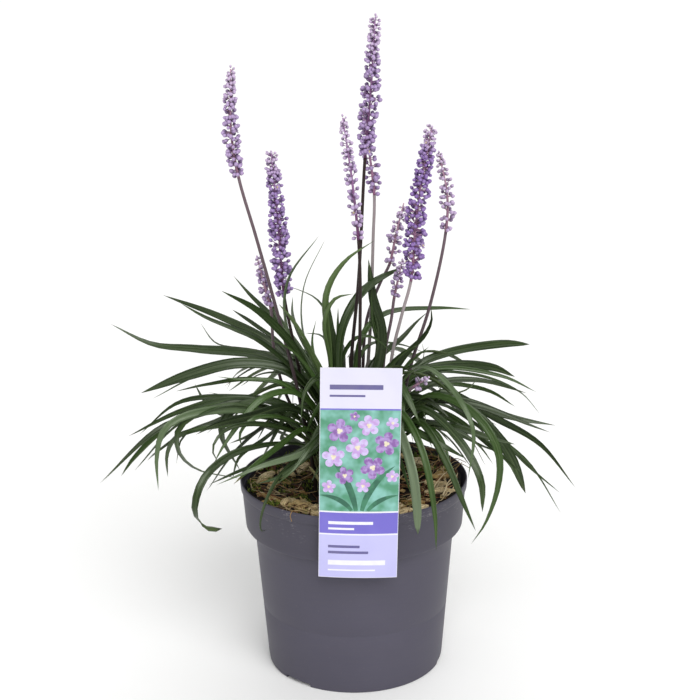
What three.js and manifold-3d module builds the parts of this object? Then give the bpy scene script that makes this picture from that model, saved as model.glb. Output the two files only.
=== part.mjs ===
// Potted liriope: a clump of strap leaves and violet flower spikes, in a plain plastic nursery pot with
// a picture label. Millimetres, +Z up. The origin is the centre of the pot's underside, and the label
// faces -Y. Every leaf tuft, flower stem and flower spike is a mesh of its own.
import * as THREE from 'three';
import { mergeVertices } from 'three/addons/utils/BufferGeometryUtils.js';
import Module from 'manifold-3d';

const wasm = await Module();
wasm.setup();

// ---------------------------------------------------------------------------- driving dimensions
const POT = {
  height: 145.6, // a 17 cm pot of about 2 litres
  rimRadius: 84.6,
  lipRadius: 84.3, // lower edge of the thickened lip
  lipHeight: 139.2,
  collarTopRadius: 83.2, // the deep collar, just below the lip
  collarTopHeight: 137.6,
  collarEdgeRadius: 81.2, // and at its lower edge
  collarEdgeHeight: 111.2,
  undercutRadius: 79.8, // underside of the collar
  undercutHeight: 109.5,
  neckRadius: 74.7, // where the body meets it
  neckHeight: 108.8,
  bodyFootRadius: 66.6,
  footRadius: 65.9,
  footChamfer: 0.8,
  wall: 1.5,
  floorDiscRadius: 42, // flat middle of the floor, which stands on the table with the foot ring
  grooveOuterRadius: 59,
  grooveDepth: 3,
  sides: 36,
};
const NOTCH = { angles: [-131, -11, 109], width: 24, height: 3 }; // in the foot ring
const DRAIN = { count: 6, radius: 4, circle: 50.5 }; // in the groove of the floor
const FIT = 0.35; // clearance between neighbouring pieces
const SOIL_HEIGHT = 131;
const SOIL_MOUND = 3;
const CHIPS = { count: 20, length: [15, 28], width: [6, 10], thickness: 3.8, nearest: 39, farthest: 69 };
const LABEL = {
  width: 55,
  length: 153.8,
  thickness: 0.8,
  foot: new THREE.Vector3(2, -87.4, 102.2), // middle of its lower edge
  head: new THREE.Vector3(5.9, -89.4, 256), // middle of its upper edge
  bowRadius: 200,
  tilt: 0.022, // it leans a little to the right
  bowedLength: 45, // bowed a little round the pot up to here, and flat above 2.5 times as far
  columns: 6,
  rows: 6,
};
const STAKE = { width: 14, thickness: 1.2, x: 3.5 };
const STAKE_WAY = [[-87.6, 190], [-81.6, 148], [-70.3, 112], [-66, 94]]; // y and height of its middle
const CROWN = { radius: 5.2, sides: 8, below: 22, above: 9 };
const CROWN_RING = 22; // radius of the ring of outer crowns
const CROWN_CORE = 9; // and of the three inner ones
const BLADE = {
  keel: 1.5, // thickness at the ridge below
  baseKeel: 0.95,
  baseWidth: 0.55, // share of the full width that a blade has at the crown
  fullFrom: 0.34, // share of its length where it is fully wide
  taperFrom: 0.55, // and where it starts to taper to the tip
  step: 27,
};
const RISE = { reach: 0.3, height: 0.6 }; // a blade stands steeply on its way to its first given point
const STEM = { baseRadius: 1.45, topRadius: 1.1, sides: 5, depth: 16, holeRadius: 2.1 };

// ---------------------------------------------------------------------------- leaves
// Crowns: name, bearing from the pot's axis in degrees, distance from the axis.
const CROWNS = [
  ['east', 0, CROWN_RING], ['northeast', 36, CROWN_RING], ['north', 72, CROWN_RING],
  ['north_left', 108, CROWN_RING], ['northwest', 144, CROWN_RING], ['west', 180, CROWN_RING],
  ['southwest', 216, CROWN_RING], ['south_left', 252, CROWN_RING], ['south_right', 288, CROWN_RING],
  ['southeast', 324, CROWN_RING],
  ['mid_left', 190, CROWN_CORE], ['mid_right', 330, CROWN_CORE], ['mid_back', 80, CROWN_CORE],
];

// The long leaves that give the clump its outline. Each row is: crown, blade width, roll of the blade
// in degrees, bearing at the crown, change of bearing towards the tip, and then its way as pairs of
// distance from the crown and height above the table.
const LEAVES = [
  ['mid_left', 7, -40, 164, 0, 49, 234, 107, 241, 140, 244, 171, 259],
  ['mid_left', 9, -62, 183, 0, 37, 228, 73, 235, 110, 227, 146, 214],
  ['southwest', 7, -45, 199, 0, 66, 215, 92, 210, 125, 202, 169, 167],
  ['southwest', 8, -70, 206, 0, 60, 210, 109, 214, 126, 206, 132, 188, 132, 162],
  ['east', 9, 62, -3, 0, 30, 204, 60, 203, 95, 191, 127, 185],
  ['east', 8, 55, 7, 0, 43, 208, 85, 185, 119, 163, 148, 126],
  ['east', 9, 60, -15, 0, 38, 210, 67, 200, 94, 170, 107, 140],
  ['southeast', 8, 60, -36, 0, 45, 220, 81, 214, 101, 192, 103, 169, 93, 135, 81, 115],
  ['northeast', 7, 50, 28, 0, 34, 220, 60, 227, 111, 227, 137, 223],
  ['northeast', 8, 60, 22, 0, 27, 214, 54, 219, 96, 213, 116, 203],
  ['south_right', 9, 40, 300, -4, 18, 186, 46, 206, 70, 183, 80, 160, 84, 138],
  ['south_right', 8, 35, 308, -6, 16, 192, 42, 214, 70, 194, 88, 152, 93, 127],
  ['southwest', 8, -35, 228, 0, 34, 184, 96, 194, 125, 183, 133, 163, 124, 149, 109, 143],
  ['northwest', 7, -45, 155, 0, 46, 238, 88, 254, 141, 267],
  ['northeast', 8, 45, 14, 0, 42, 208, 76, 186, 119, 137, 149, 109],
  ['mid_left', 9, -55, 200, 0, 22, 223, 35, 248, 61, 278, 88, 296],
  ['northwest', 7, -35, 170, 0, 34, 196, 67, 199, 115, 193, 149, 165],
  ['west', 7, -40, 186, 0, 35, 202, 64, 209, 105, 200, 143, 183],
  ['west', 7, -30, 193, 0, 62, 208, 109, 197, 139, 173, 150, 159],
  ['southwest', 7, -50, 216, 0, 30, 220, 57, 221, 88, 195, 98, 182],
  ['southwest', 9, -60, 222, 0, 36, 211, 71, 213, 104, 214, 119, 211],
  ['mid_left', 8, -45, 150, 0, 35, 237, 49, 253, 63, 275, 64, 293],
  ['mid_left', 6, -30, 187, 0, 59, 252, 76, 261, 97, 271, 114, 282],
  ['mid_left', 6, -20, 195, 110, 5, 205, 11, 248, 26, 292, 32, 316, 44, 332],
  ['mid_left', 5, -20, 180, 0, 14, 205, 39, 262, 37, 296, 14, 328],
  ['mid_left', 5, 30, 215, 0, 27, 249, 42, 274, 52, 286],
  ['mid_left', 7, 35, 38, 0, 2, 258, 16, 279, 33, 289, 61, 296],
  ['mid_back', 8, -50, 150, 0, 15, 225, 21, 269, 24, 290],
  ['mid_back', 8, 45, 2, 55, 16, 227, 21, 257, 17, 282, 18, 310],
  ['mid_back', 6, 25, 40, 0, 8, 250, 27, 262, 80, 258, 116, 251],
  ['mid_back', 7, 30, 28, 0, 18, 226, 45, 241, 59, 251, 70, 257],
  ['mid_right', 7, 40, 10, 0, 31, 237, 46, 252, 51, 263, 50, 274],
  ['mid_right', 9, 55, -22, 0, 9, 216, 32, 245, 44, 253],
  ['mid_right', 7, 30, -34, 0, 14, 212, 42, 242, 56, 255],
  ['northwest', 5, -20, 163, 0, 41, 223, 103, 210, 149, 185],
  ['northwest', 6, -20, 138, 0, 74, 164, 127, 164, 139, 171, 149, 183],
  ['northwest', 6, -35, 147, 0, 35, 206, 82, 188, 114, 187],
  ['north_left', 7, -40, 140, 0, 49, 232, 76, 253, 94, 264, 112, 277],
  ['north_left', 7, -40, 128, 0, 55, 223, 124, 195, 149, 180, 160, 166],
  ['north_left', 6, 20, 118, 20, 20, 252, 32, 269, 57, 277],
  ['west', 5, -25, 202, 0, 49, 207, 81, 200, 107, 191, 113, 171],
  ['southwest', 7, -20, 206, 0, 76, 217, 114, 206, 116, 190, 104, 174, 70, 160],
  ['southwest', 6, -40, 229, 0, 78, 211, 107, 213, 117, 204, 111, 191],
  ['southwest', 8, -30, 201, 0, 37, 211, 69, 212, 81, 196, 68, 163],
  ['south_left', 7, -50, 251, -30, 27, 197, 55, 189, 91, 187, 115, 176],
  ['south_left', 6, -30, 255, -20, 32, 202, 53, 198, 74, 182, 84, 172],
  ['south_left', 7, 20, 254, 3, 18, 192, 43, 209, 63, 190, 67, 164],
  ['northeast', 5, 30, 34, 0, 40, 210, 91, 203, 140, 179, 162, 156],
  ['east', 7, 40, 20, 0, 20, 205, 41, 215, 73, 215, 109, 203],
  ['east', 7, -20, -22, 0, 23, 199, 49, 212, 66, 220, 72, 228],
  ['east', 7, 50, -9, 0, 22, 202, 66, 203, 111, 188, 123, 184],
  ['east', 5, 20, -34, 0, 23, 192, 65, 191, 81, 184, 93, 172],
  ['east', 7, 35, -28, 0, 22, 188, 53, 192, 90, 187, 105, 186],
  ['southeast', 7, 55, -28, 0, 22, 190, 43, 209, 48, 217, 51, 227],
  ['southeast', 7, 35, -46, 0, 42, 212, 80, 197, 100, 173, 102, 150],
  ['southeast', 6, 20, -54, 0, 49, 245, 78, 241, 106, 216, 102, 178],
  ['southeast', 8, 45, 305, 6, 24, 188, 48, 205, 74, 184, 91, 156, 101, 137],
  ['southeast', 7, 40, 286, 22, 38, 198, 63, 193, 80, 181],
];

// Smaller leaves that fill the clump: how many at each crown, with the range of their reach.
const FILLERS = [
  ['north', 8, 90, 150], ['north_left', 3, 80, 145], ['northeast', 4, 80, 140], ['northwest', 2, 60, 120],
  ['mid_back', 3, 70, 120], ['mid_right', 4, 50, 95], ['southeast', 2, 50, 85], ['south_right', 4, 40, 66],
  ['south_left', 4, 40, 66], ['west', 3, 50, 95],
];
const FILLER_SPREAD = 34; // degrees of bearing to either side of the crown's own
const TURNS = [0, 2, -2, 4, -4, 6, -6, 9, -9, 12, -12, 16, -16]; // how a blade is bent clear, in degrees
const LIFTS = [0, 5, -5, 10, -10]; // and in height at its tip

// ---------------------------------------------------------------------------- flower spikes
// foot is where the stem leaves the soil, flowersFrom the height where the flowers start, radius that of
// the head, buds how many stand in one ring, and way its points from the foot to the tip.
const SPIKES = [
  { name: '1', tone: 'brown', foot: [-28.5, -9.3], flowersFrom: 372, radius: 7.6, buds: 4,
    way: [[-40, -10, 215], [-54, -10, 276], [-67, -11, 329], [-78, -12, 372], [-82, -13, 402], [-81, -14, 448]] },
  { name: '2', tone: 'dark', foot: [-28.5, 9.3], flowersFrom: 282, radius: 8.8, buds: 4,
    way: [[-36, 8, 205], [-44, 6, 252], [-49, 6, 282], [-52, 7, 330], [-56, 8, 386]] },
  { name: '3', tone: 'brown', foot: [-17.6, 24.3], flowersFrom: 268, radius: 5.8, buds: 3,
    way: [[-48, 23, 196], [-58, 21, 235], [-60, 23, 268], [-64, 24, 284], [-69, 26, 306]] },
  { name: '4', tone: 'dark', foot: [0, -30], flowersFrom: 330, radius: 6.4, buds: 3,
    way: [[4, -25, 190], [5, -23, 240], [6, -26, 300], [5, -27, 330], [1, -29, 372], [-5, -30, 416]] },
  { name: '5', tone: 'dark', foot: [-1.4, -7.9], flowersFrom: 384, radius: 8.6, buds: 4,
    way: [[-2, -7, 190], [-1, -6, 234], [5, -6, 297], [10, -6, 381], [12, -6, 402], [15, -6, 436], [18, -6, 481]] },
  { name: '6', tone: 'pale', foot: [0, 29], flowersFrom: 352, radius: 6.6, buds: 3,
    way: [[8, 26, 190], [13, 24, 245], [16, 24, 320], [17, 25, 352], [14, 25, 380], [9, 26, 415]] },
  { name: '7', tone: 'brown', foot: [2, 37], flowersFrom: 298, radius: 6.8, buds: 3,
    way: [[7, 36, 200], [11, 34, 256], [22, 34, 286], [28, 34, 298], [33, 36, 320], [39, 38, 344]] },
  { name: '8', tone: 'pale', foot: [28.5, -9.3], flowersFrom: 297, radius: 9.2, buds: 4,
    way: [[27, -12, 195], [28, -13, 238], [36, -14, 274], [42, -14, 297], [45, -15, 334], [49, -15, 366],
      [56, -16, 405]] },
  { name: '9', tone: 'brown', foot: [28.5, 9.3], flowersFrom: 327, radius: 6.4, buds: 3,
    way: [[35, 7, 190], [43, 6, 229], [57, 8, 274], [68, 10, 327], [69, 11, 353], [63, 12, 384]] },
  { name: '10', tone: 'brown', foot: [17.6, 24.3], flowersFrom: 276, radius: 5.6, buds: 3,
    way: [[21, 20, 195], [24, 18, 235], [29, 18, 261], [31, 19, 276], [34, 20, 290], [37, 20, 304]] },
  { name: '11', tone: 'brown', foot: [17.6, -24.3], flowersFrom: 224, radius: 5.4, buds: 3,
    way: [[21, -31, 185], [36, -33, 217], [43, -33, 224], [53, -34, 231]] },
];
const BUDS = { spacing: 3, height: 3.9, slimmest: 1.2, tip: 0.36 }; // rings, how far buds stand out, taper

// ---------------------------------------------------------------------------- finishes
const FINISH = {
  pot: new THREE.MeshStandardMaterial({ color: '#5a5862', roughness: 0.5, metalness: 0 }),
  soil: new THREE.MeshStandardMaterial({ color: '#5b4631', roughness: 0.95, metalness: 0 }),
  label: new THREE.MeshStandardMaterial({ color: '#dcd9fb', roughness: 0.35, metalness: 0 }),
  leaf: new THREE.MeshStandardMaterial({ color: '#37552f', roughness: 0.5, metalness: 0 }),
  flower: new THREE.MeshStandardMaterial({ color: '#8a67b6', roughness: 0.6, metalness: 0 }),
  dark: new THREE.MeshStandardMaterial({ color: '#43283c', roughness: 0.55, metalness: 0 }),
  brown: new THREE.MeshStandardMaterial({ color: '#7a5560', roughness: 0.55, metalness: 0 }),
  pale: new THREE.MeshStandardMaterial({ color: '#a58ba0', roughness: 0.55, metalness: 0 }),
};

// ---------------------------------------------------------------------------- small helpers
const radians = THREE.MathUtils.degToRad;
const lerp = THREE.MathUtils.lerp;
const smoothstep = THREE.MathUtils.smoothstep;
const around = (degrees, distance) => [
  distance * Math.cos(radians(degrees)),
  distance * Math.sin(radians(degrees)),
];

// A seeded random source, 0 to 1: the same numbers on every run.
function randomSource(seed) {
  let state = seed;
  return () => {
    state = (state * 16807) % 2147483647;
    return state / 2147483647;
  };
}

// Welds a geometry and turns it into a solid with its faces pointing out.
function solid(geometry) {
  const bare = geometry.clone();
  bare.deleteAttribute('normal');
  bare.deleteAttribute('uv');
  const welded = mergeVertices(bare, 1e-4);
  const vertices = welded.attributes.position.array;
  const triangles = [];
  for (let i = 0; i < welded.index.count; i += 3) {
    const [a, b, c] = [0, 1, 2].map((k) => welded.index.getX(i + k));
    if (a !== b && b !== c && c !== a) triangles.push(a, b, c);
  }
  const point = (index) => new THREE.Vector3().fromArray(vertices, index * 3);
  let volume = 0;
  for (let i = 0; i < triangles.length; i += 3) {
    const [a, b, c] = [0, 1, 2].map((k) => point(triangles[i + k]));
    volume += a.dot(b.cross(c));
  }
  if (volume < 0) triangles.reverse();
  return new wasm.Manifold(new wasm.Mesh({
    numProp: 3,
    vertProperties: new Float32Array(vertices),
    triVerts: new Uint32Array(triangles),
  }));
}

function geometryOf(body) {
  const mesh = body.getMesh();
  const geometry = new THREE.BufferGeometry();
  geometry.setAttribute('position', new THREE.BufferAttribute(new Float32Array(mesh.vertProperties), 3));
  geometry.setIndex(new THREE.BufferAttribute(new Uint32Array(mesh.triVerts), 1));
  geometry.computeVertexNormals();
  return geometry;
}

// A closed skin over rings of points. It ends in a point where apex is given, and in a flat cap
// otherwise. split(i, j) says which way a four-cornered patch is cut in two. A sheet is a ring of two
// long lines, and its caps are strips between them.
function skin(rings, { apex, split = () => false, sheet = false } = {}) {
  const count = rings[0].length;
  const positions = rings.flat().flatMap((p) => [p.x, p.y, p.z]);
  const faces = [];
  for (let i = 0; i + 1 < rings.length; i += 1) {
    for (let j = 0; j < count; j += 1) {
      const [a, b] = [i * count + j, i * count + ((j + 1) % count)];
      if (split(i, j)) faces.push(a, b, a + count, b, b + count, a + count);
      else faces.push(a, b, b + count, a, b + count, a + count);
    }
  }
  const cap = (first, flip) => {
    const corner = (j) => first + j;
    const patches = [];
    if (sheet) {
      for (let j = 0; j < count / 2 - 1; j += 1) {
        const [a, b, c, d] = [corner(j), corner(j + 1), corner(count - 2 - j), corner(count - 1 - j)];
        patches.push([a, c, b], [a, d, c]);
      }
    } else {
      for (let j = 1; j + 1 < count; j += 1) patches.push([corner(0), corner(j + 1), corner(j)]);
    }
    for (const patch of patches) faces.push(...(flip ? patch.reverse() : patch));
  };
  const last = (rings.length - 1) * count;
  cap(0, false);
  if (apex) {
    positions.push(apex.x, apex.y, apex.z);
    const tip = positions.length / 3 - 1;
    for (let j = 0; j < count; j += 1) faces.push(last + j, last + ((j + 1) % count), tip);
  } else {
    cap(last, true);
  }
  const geometry = new THREE.BufferGeometry();
  geometry.setAttribute('position', new THREE.Float32BufferAttribute(positions, 3));
  geometry.setIndex(faces);
  return geometry;
}

function lathe(profile) {
  const points = profile.map(([r, z]) => new THREE.Vector2(r, z));
  const geometry = new THREE.LatheGeometry(points, POT.sides);
  geometry.rotateX(Math.PI / 2);
  return geometry;
}

function post(x, y, radius, bottom, top, sides) {
  const geometry = new THREE.CylinderGeometry(radius, radius, top - bottom, sides);
  geometry.rotateX(Math.PI / 2);
  geometry.translate(x, y, (top + bottom) / 2);
  return solid(geometry);
}

// ---------------------------------------------------------------------------- pot
// Half outline of the pot's side, from the foot up. inset moves it in, and the collar's underside up.
function potSide(inset) {
  return [
    [POT.bodyFootRadius - inset, 6],
    [POT.neckRadius - inset, POT.neckHeight + inset],
    [POT.undercutRadius - inset, POT.undercutHeight + inset],
    [POT.collarEdgeRadius - inset, POT.collarEdgeHeight + inset],
    [POT.collarTopRadius - inset, POT.collarTopHeight],
    [POT.lipRadius - inset, POT.lipHeight],
    [POT.rimRadius - inset, POT.height],
  ];
}

function pot() {
  const { wall, grooveDepth, floorDiscRadius, grooveOuterRadius, footRadius, footChamfer } = POT;
  const floor = wall + grooveDepth;
  let body = solid(lathe([
    [0, 0], [floorDiscRadius, 0], [floorDiscRadius + 2, grooveDepth], [grooveOuterRadius, grooveDepth],
    [grooveOuterRadius + 2, 0], [footRadius - footChamfer, 0], [footRadius, footChamfer],
    ...potSide(0), ...potSide(wall).reverse(), [footRadius - wall, floor], [0, floor],
  ]));
  for (const angle of NOTCH.angles) {
    const cutter = new THREE.BoxGeometry(12, NOTCH.width, NOTCH.height * 2);
    cutter.translate(footRadius, 0, 0);
    cutter.rotateZ(radians(angle));
    body = body.subtract(solid(cutter));
  }
  for (let i = 0; i < DRAIN.count; i += 1) {
    const [x, y] = around(((i + 0.5) * 360) / DRAIN.count, DRAIN.circle);
    body = body.subtract(post(x, y, DRAIN.radius, -1, floor + 1, 6));
  }
  return body;
}

// ---------------------------------------------------------------------------- soil and mulch
function soilTop(x, y) {
  const mound = SOIL_MOUND * Math.exp(-((x * x + y * y) / 2400));
  return SOIL_HEIGHT + mound + 1.1 * Math.sin(x / 9 + 1) * Math.cos(y / 11);
}

// The soil fills the pot and is open to a tuft's crown, a stem or the stake wherever one stands.
function soil(stands) {
  const floor = POT.wall + POT.grooveDepth + FIT;
  const side = potSide(POT.wall + FIT);
  const [collarEdge, collarTop] = side.slice(3);
  const edge = lerp(collarEdge[0], collarTop[0], (SOIL_HEIGHT - collarEdge[1]) / (collarTop[1] - collarEdge[1]));
  const rings = [71, 56, 38, 18, 0];
  const geometry = lathe([
    [0, floor], [side[0][0] - 1.5, floor], side[1], side[2], collarEdge, [edge, SOIL_HEIGHT],
    ...rings.map((r) => [r, SOIL_HEIGHT + 0.01]),
  ]);
  const position = geometry.attributes.position;
  for (let i = 0; i < position.count; i += 1) {
    if (position.getZ(i) > SOIL_HEIGHT) position.setZ(i, soilTop(position.getX(i), position.getY(i)));
  }
  let body = solid(geometry);
  const random = randomSource(4127);
  for (let i = 0; i < CHIPS.count; i += 1) {
    const [x, y] = around(i * 137.5 + 20 * random(), lerp(CHIPS.nearest, CHIPS.farthest, Math.sqrt(random())));
    const chip = new THREE.BoxGeometry(
      lerp(...CHIPS.length, random()), lerp(...CHIPS.width, random()), CHIPS.thickness);
    chip.rotateY(0.2 * (random() - 0.5));
    chip.rotateX(0.4 * (random() - 0.5));
    chip.rotateZ(Math.PI * random());
    chip.translate(x, y, soilTop(x, y) + 0.8);
    body = body.add(solid(chip));
  }
  for (const { x, y, radius, sides, below } of stands) {
    body = body.subtract(post(x, y, radius, SOIL_HEIGHT - below, SOIL_HEIGHT + 20, sides));
  }
  return body.subtract(stake(FIT + 0.1));
}

// ---------------------------------------------------------------------------- label
// The stake of the label: a flat strip that goes down inside the rim and into the soil. grow makes the
// slot that it stands in.
function stake(grow) {
  const half = STAKE.width / 2 + grow;
  const thick = STAKE.thickness / 2 + grow;
  const lowest = STAKE_WAY.length - 1;
  return solid(skin(STAKE_WAY.map(([y, z], i) => {
    const height = i === lowest ? z - grow : z;
    return [[-half, -thick], [half, -thick], [half, thick], [-half, thick]].map(
      ([dx, dy]) => new THREE.Vector3(STAKE.x + dx, y + dy, height));
  })));
}

// The printed strip: bowed a little at the bottom and flat at the top.
function label() {
  const { columns, rows, foot, head } = LABEL;
  const rings = [];
  for (let row = 0; row <= rows; row += 1) {
    const up = (LABEL.length * row) / rows;
    const flatness = smoothstep(up, LABEL.bowedLength, 2.5 * LABEL.bowedLength);
    const bow = Math.max(1e-5, (1 - flatness) / LABEL.bowRadius);
    const middle = foot.clone().lerp(head, row / rows);
    const line = (depth) => Array.from({ length: columns + 1 }, (_, column) => {
      const u = LABEL.width * (column / columns - 0.5);
      const back = (1 - Math.cos(bow * u)) / bow;
      return new THREE.Vector3(
        middle.x + Math.sin(bow * u) / bow, middle.y + back + depth, middle.z - LABEL.tilt * u);
    });
    rings.push([...line(-LABEL.thickness / 2), ...line(LABEL.thickness / 2).reverse()]);
  }
  // Both faces are cut along the same diagonals, so the thin sheet never crosses itself.
  return solid(skin(rings, { split: (i, j) => j > columns, sheet: true })).add(stake(0));
}

// ---------------------------------------------------------------------------- stems and spikes
function smoothWay(points) {
  return new THREE.CatmullRomCurve3(points.map((p) => new THREE.Vector3(...p)), false, 'centripetal');
}

// The place along a curve, 0 to 1, where it reaches a height.
function placeAtHeight(curve, height) {
  let [low, high] = [0, 1];
  for (let i = 0; i < 30; i += 1) {
    const middle = (low + high) / 2;
    if (curve.getPointAt(middle).z < height) low = middle;
    else high = middle;
  }
  return low;
}

// A ring of points round a curve. radiusOf gives the radius of each.
function ringAround(curve, place, count, radiusOf) {
  const centre = curve.getPointAt(place);
  const along = curve.getTangentAt(place);
  const across = new THREE.Vector3(0, -1, 0).cross(along).normalize();
  const up = along.clone().cross(across);
  return Array.from({ length: count }, (_, k) => {
    const angle = (2 * Math.PI * k) / count;
    return centre.clone()
      .addScaledVector(across, radiusOf(k) * Math.cos(angle))
      .addScaledVector(up, radiusOf(k) * Math.sin(angle));
  });
}

// A stem stands upright in its hole, and curves from just above the soil.
function stem(curve, end) {
  const free = placeAtHeight(curve, SOIL_HEIGHT + 10);
  const steps = Math.max(4, Math.round(((end - free) * curve.getLength()) / 42));
  const places = [0, ...Array.from({ length: steps + 1 }, (_, i) => lerp(free, end, i / steps))];
  return solid(skin(places.map((place) => {
    const radius = lerp(STEM.baseRadius, STEM.topRadius, place / end);
    return ringAround(curve, place, STEM.sides, () => radius);
  })));
}

// A head of buds: every second point of a ring stands out as a bud, in turn from ring to ring, and the
// points between are drawn in to a slim core.
function flowerHead(curve, start, { radius, buds }, random) {
  const count = Math.max(4, Math.round(((1 - start) * curve.getLength()) / BUDS.spacing));
  const rings = [ringAround(curve, start, 2 * buds, () => BUDS.slimmest)];
  for (let i = 1; i < count; i += 1) {
    const done = i / count;
    const full = radius * (1 - (1 - BUDS.tip) * done ** 2.4) * (i === 1 ? 0.8 : 1);
    const core = Math.max(BUDS.slimmest * (1 - 0.4 * done), full - BUDS.height);
    rings.push(ringAround(curve, lerp(start, 1, done), 2 * buds,
      (k) => ((i + k) % 2 ? core : full)));
    const last = rings[rings.length - 1];
    const drift = (random() - 0.5) * 0.8;
    for (const point of last) point.z += drift;
  }
  return solid(skin(rings, { apex: curve.getPointAt(1), split: (i, j) => (i + j) % 2 === 0 }));
}

// ---------------------------------------------------------------------------- leaf blades
const crownOf = (name) => CROWNS.find(([crown]) => crown === name);

function crownPlace(name) {
  const [, bearing, distance] = crownOf(name);
  return around(bearing, distance);
}

// The way of a blade from inside its crown to its tip. seat is how far from the crown's middle it
// grows, and turn and lift bend it aside and up.
function bladeWay([crown, , , bearing, bow, ...way], seat, turn, lift) {
  const [x, y] = crownPlace(crown);
  const last = way.length / 2 - 1;
  const at = (degrees, reach, height) => {
    const [dx, dy] = around(degrees, reach);
    return [x + dx, y + dy, height];
  };
  const neck = SOIL_HEIGHT + 18;
  const points = [
    at(bearing + turn, seat, SOIL_HEIGHT + 4),
    at(bearing + turn, seat + 0.4, neck),
    at(bearing + turn, lerp(seat, way[0], RISE.reach), lerp(neck, way[1], RISE.height)),
  ];
  for (let i = 0; i <= last; i += 1) {
    const raised = lift * Math.min(1, way[2 * i] / way[2 * last]);
    points.push(at(bearing + turn + (bow * i) / last, way[2 * i], way[2 * i + 1] + raised));
  }
  return smoothWay(points);
}

// One blade: a keeled strap, flat on top with a ridge below. grow thickens it, to test its clearance.
function blade(row, seat, turn, lift, grow) {
  const [, width, roll, bearing, bow] = row;
  const curve = bladeWay(row, seat, turn, lift);
  const spans = curve.points.length - 1;
  const stations = [];
  for (let span = 0; span < spans; span += 1) {
    const steps = Math.max(1, Math.round(curve.points[span].distanceTo(curve.points[span + 1]) / BLADE.step));
    for (let i = 0; i < steps; i += 1) stations.push((span + i / steps) / spans);
  }
  stations.push(1);
  const centres = stations.map((place) => curve.getPoint(place));
  const lengths = [0];
  for (let i = 1; i < centres.length; i += 1) lengths.push(lengths[i - 1] + centres[i].distanceTo(centres[i - 1]));
  const rings = stations.slice(0, -1).map((place, i) => {
    const done = lengths[i] / lengths[lengths.length - 1];
    const along = curve.getTangent(place);
    const heading = radians(bearing + turn + bow * done);
    const level = new THREE.Vector3(-Math.sin(heading), Math.cos(heading), 0);
    level.addScaledVector(along, -level.dot(along)).normalize();
    const rolled = radians(roll) * smoothstep(done, 0.12, 0.55);
    const side = level.clone().multiplyScalar(Math.cos(rolled))
      .addScaledVector(along.clone().cross(level), Math.sin(rolled));
    const top = along.clone().cross(side);
    const young = Math.min(1, done / BLADE.fullFrom);
    const taper = 1 - Math.max(0, (done - BLADE.taperFrom) / (1 - BLADE.taperFrom)) ** 2;
    const half = (width * lerp(BLADE.baseWidth, 1, young) * taper) / 2 + grow;
    const keel = lerp(BLADE.baseKeel, BLADE.keel, young) * lerp(0.5, 1, taper) + 2 * grow;
    const surface = centres[i].clone().addScaledVector(top, keel / 2);
    return [
      surface.clone().addScaledVector(side, -half), surface.clone().addScaledVector(side, half),
      centres[i].clone().addScaledVector(top, -keel / 2),
    ];
  });
  return solid(skin(rings, { apex: centres[centres.length - 1], split: (i, j) => j > 0 }));
}

// The filling leaves, drawn once from a seeded source. They follow the same rows as the long ones.
function fillingLeaves() {
  const random = randomSource(90210);
  const rows = [];
  for (const [crown, count, shortest, longest] of FILLERS) {
    const own = crownOf(crown)[1];
    for (let i = 0; i < count; i += 1) {
      const bearing = own + FILLER_SPREAD * (2 * ((i + random()) / count) - 1);
      const reach = lerp(shortest, longest, random());
      const crest = SOIL_HEIGHT + lerp(62, 112, random());
      const tip = crest - reach * lerp(0.05, 0.62, random());
      rows.push([
        crown, lerp(5.5, 8, random()), lerp(-50, 50, random()), bearing, lerp(-16, 16, random()),
        reach * 0.4, crest - 4, reach * 0.72, (crest + tip) / 2 + 4, reach, tip,
      ]);
    }
  }
  return rows;
}

// Where each blade grows in its crown: the flattest outermost, so that the blades lie one on another.
function withSeats(rows) {
  return rows.map((row) => {
    const slope = (other) => (other[6] - SOIL_HEIGHT) / other[5];
    const own = rows.filter(([crown]) => crown === row[0]);
    const flatter = own.filter((other) => slope(other) < slope(row)).length;
    return { row, seat: lerp(CROWN.radius - 1.2, 1.2 - CROWN.radius, flatter / Math.max(1, own.length - 1)) };
  });
}

const boxOf = (body) => {
  const { min, max } = body.boundingBox();
  return new THREE.Box3(new THREE.Vector3(...min), new THREE.Vector3(...max));
};

// Puts every blade where it is clear of all other nodes, turning and lifting it a little if it has to.
function growTufts(fixed) {
  const obstacles = fixed.map((body) => ({ crown: null, body, box: boxOf(body) }));
  const tufts = new Map();
  for (const [name] of CROWNS) {
    const body = post(
      ...crownPlace(name), CROWN.radius, SOIL_HEIGHT - CROWN.below, SOIL_HEIGHT + CROWN.above, CROWN.sides);
    tufts.set(name, [body]);
    obstacles.push({ crown: name, body, box: boxOf(body) });
  }
  const moves = LIFTS.flatMap((lift) => TURNS.map((turn) => [turn, lift]));
  moves.sort(([a, b], [c, d]) => Math.abs(a) + Math.abs(b) - Math.abs(c) - Math.abs(d));
  for (const { row, seat } of withSeats([...LEAVES, ...fillingLeaves()])) {
    const crown = row[0];
    const others = obstacles.filter((obstacle) => obstacle.crown !== crown);
    const free = moves.find(([turn, lift]) => {
      const swollen = blade(row, seat, turn, lift, FIT);
      const box = boxOf(swollen);
      return !others.some((other) => other.box.intersectsBox(box) && !swollen.intersect(other.body).isEmpty());
    });
    if (!free) continue;
    const body = blade(row, seat, ...free, 0);
    tufts.get(crown).push(body);
    obstacles.push({ crown, body, box: boxOf(body) });
  }
  return tufts;
}

// ---------------------------------------------------------------------------- the whole plant
const plant = new THREE.Group();
const fixed = [];
const put = (name, body, finish) => {
  const mesh = new THREE.Mesh(geometryOf(body), finish);
  mesh.name = name;
  plant.add(mesh);
  fixed.push(body);
};

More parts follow.
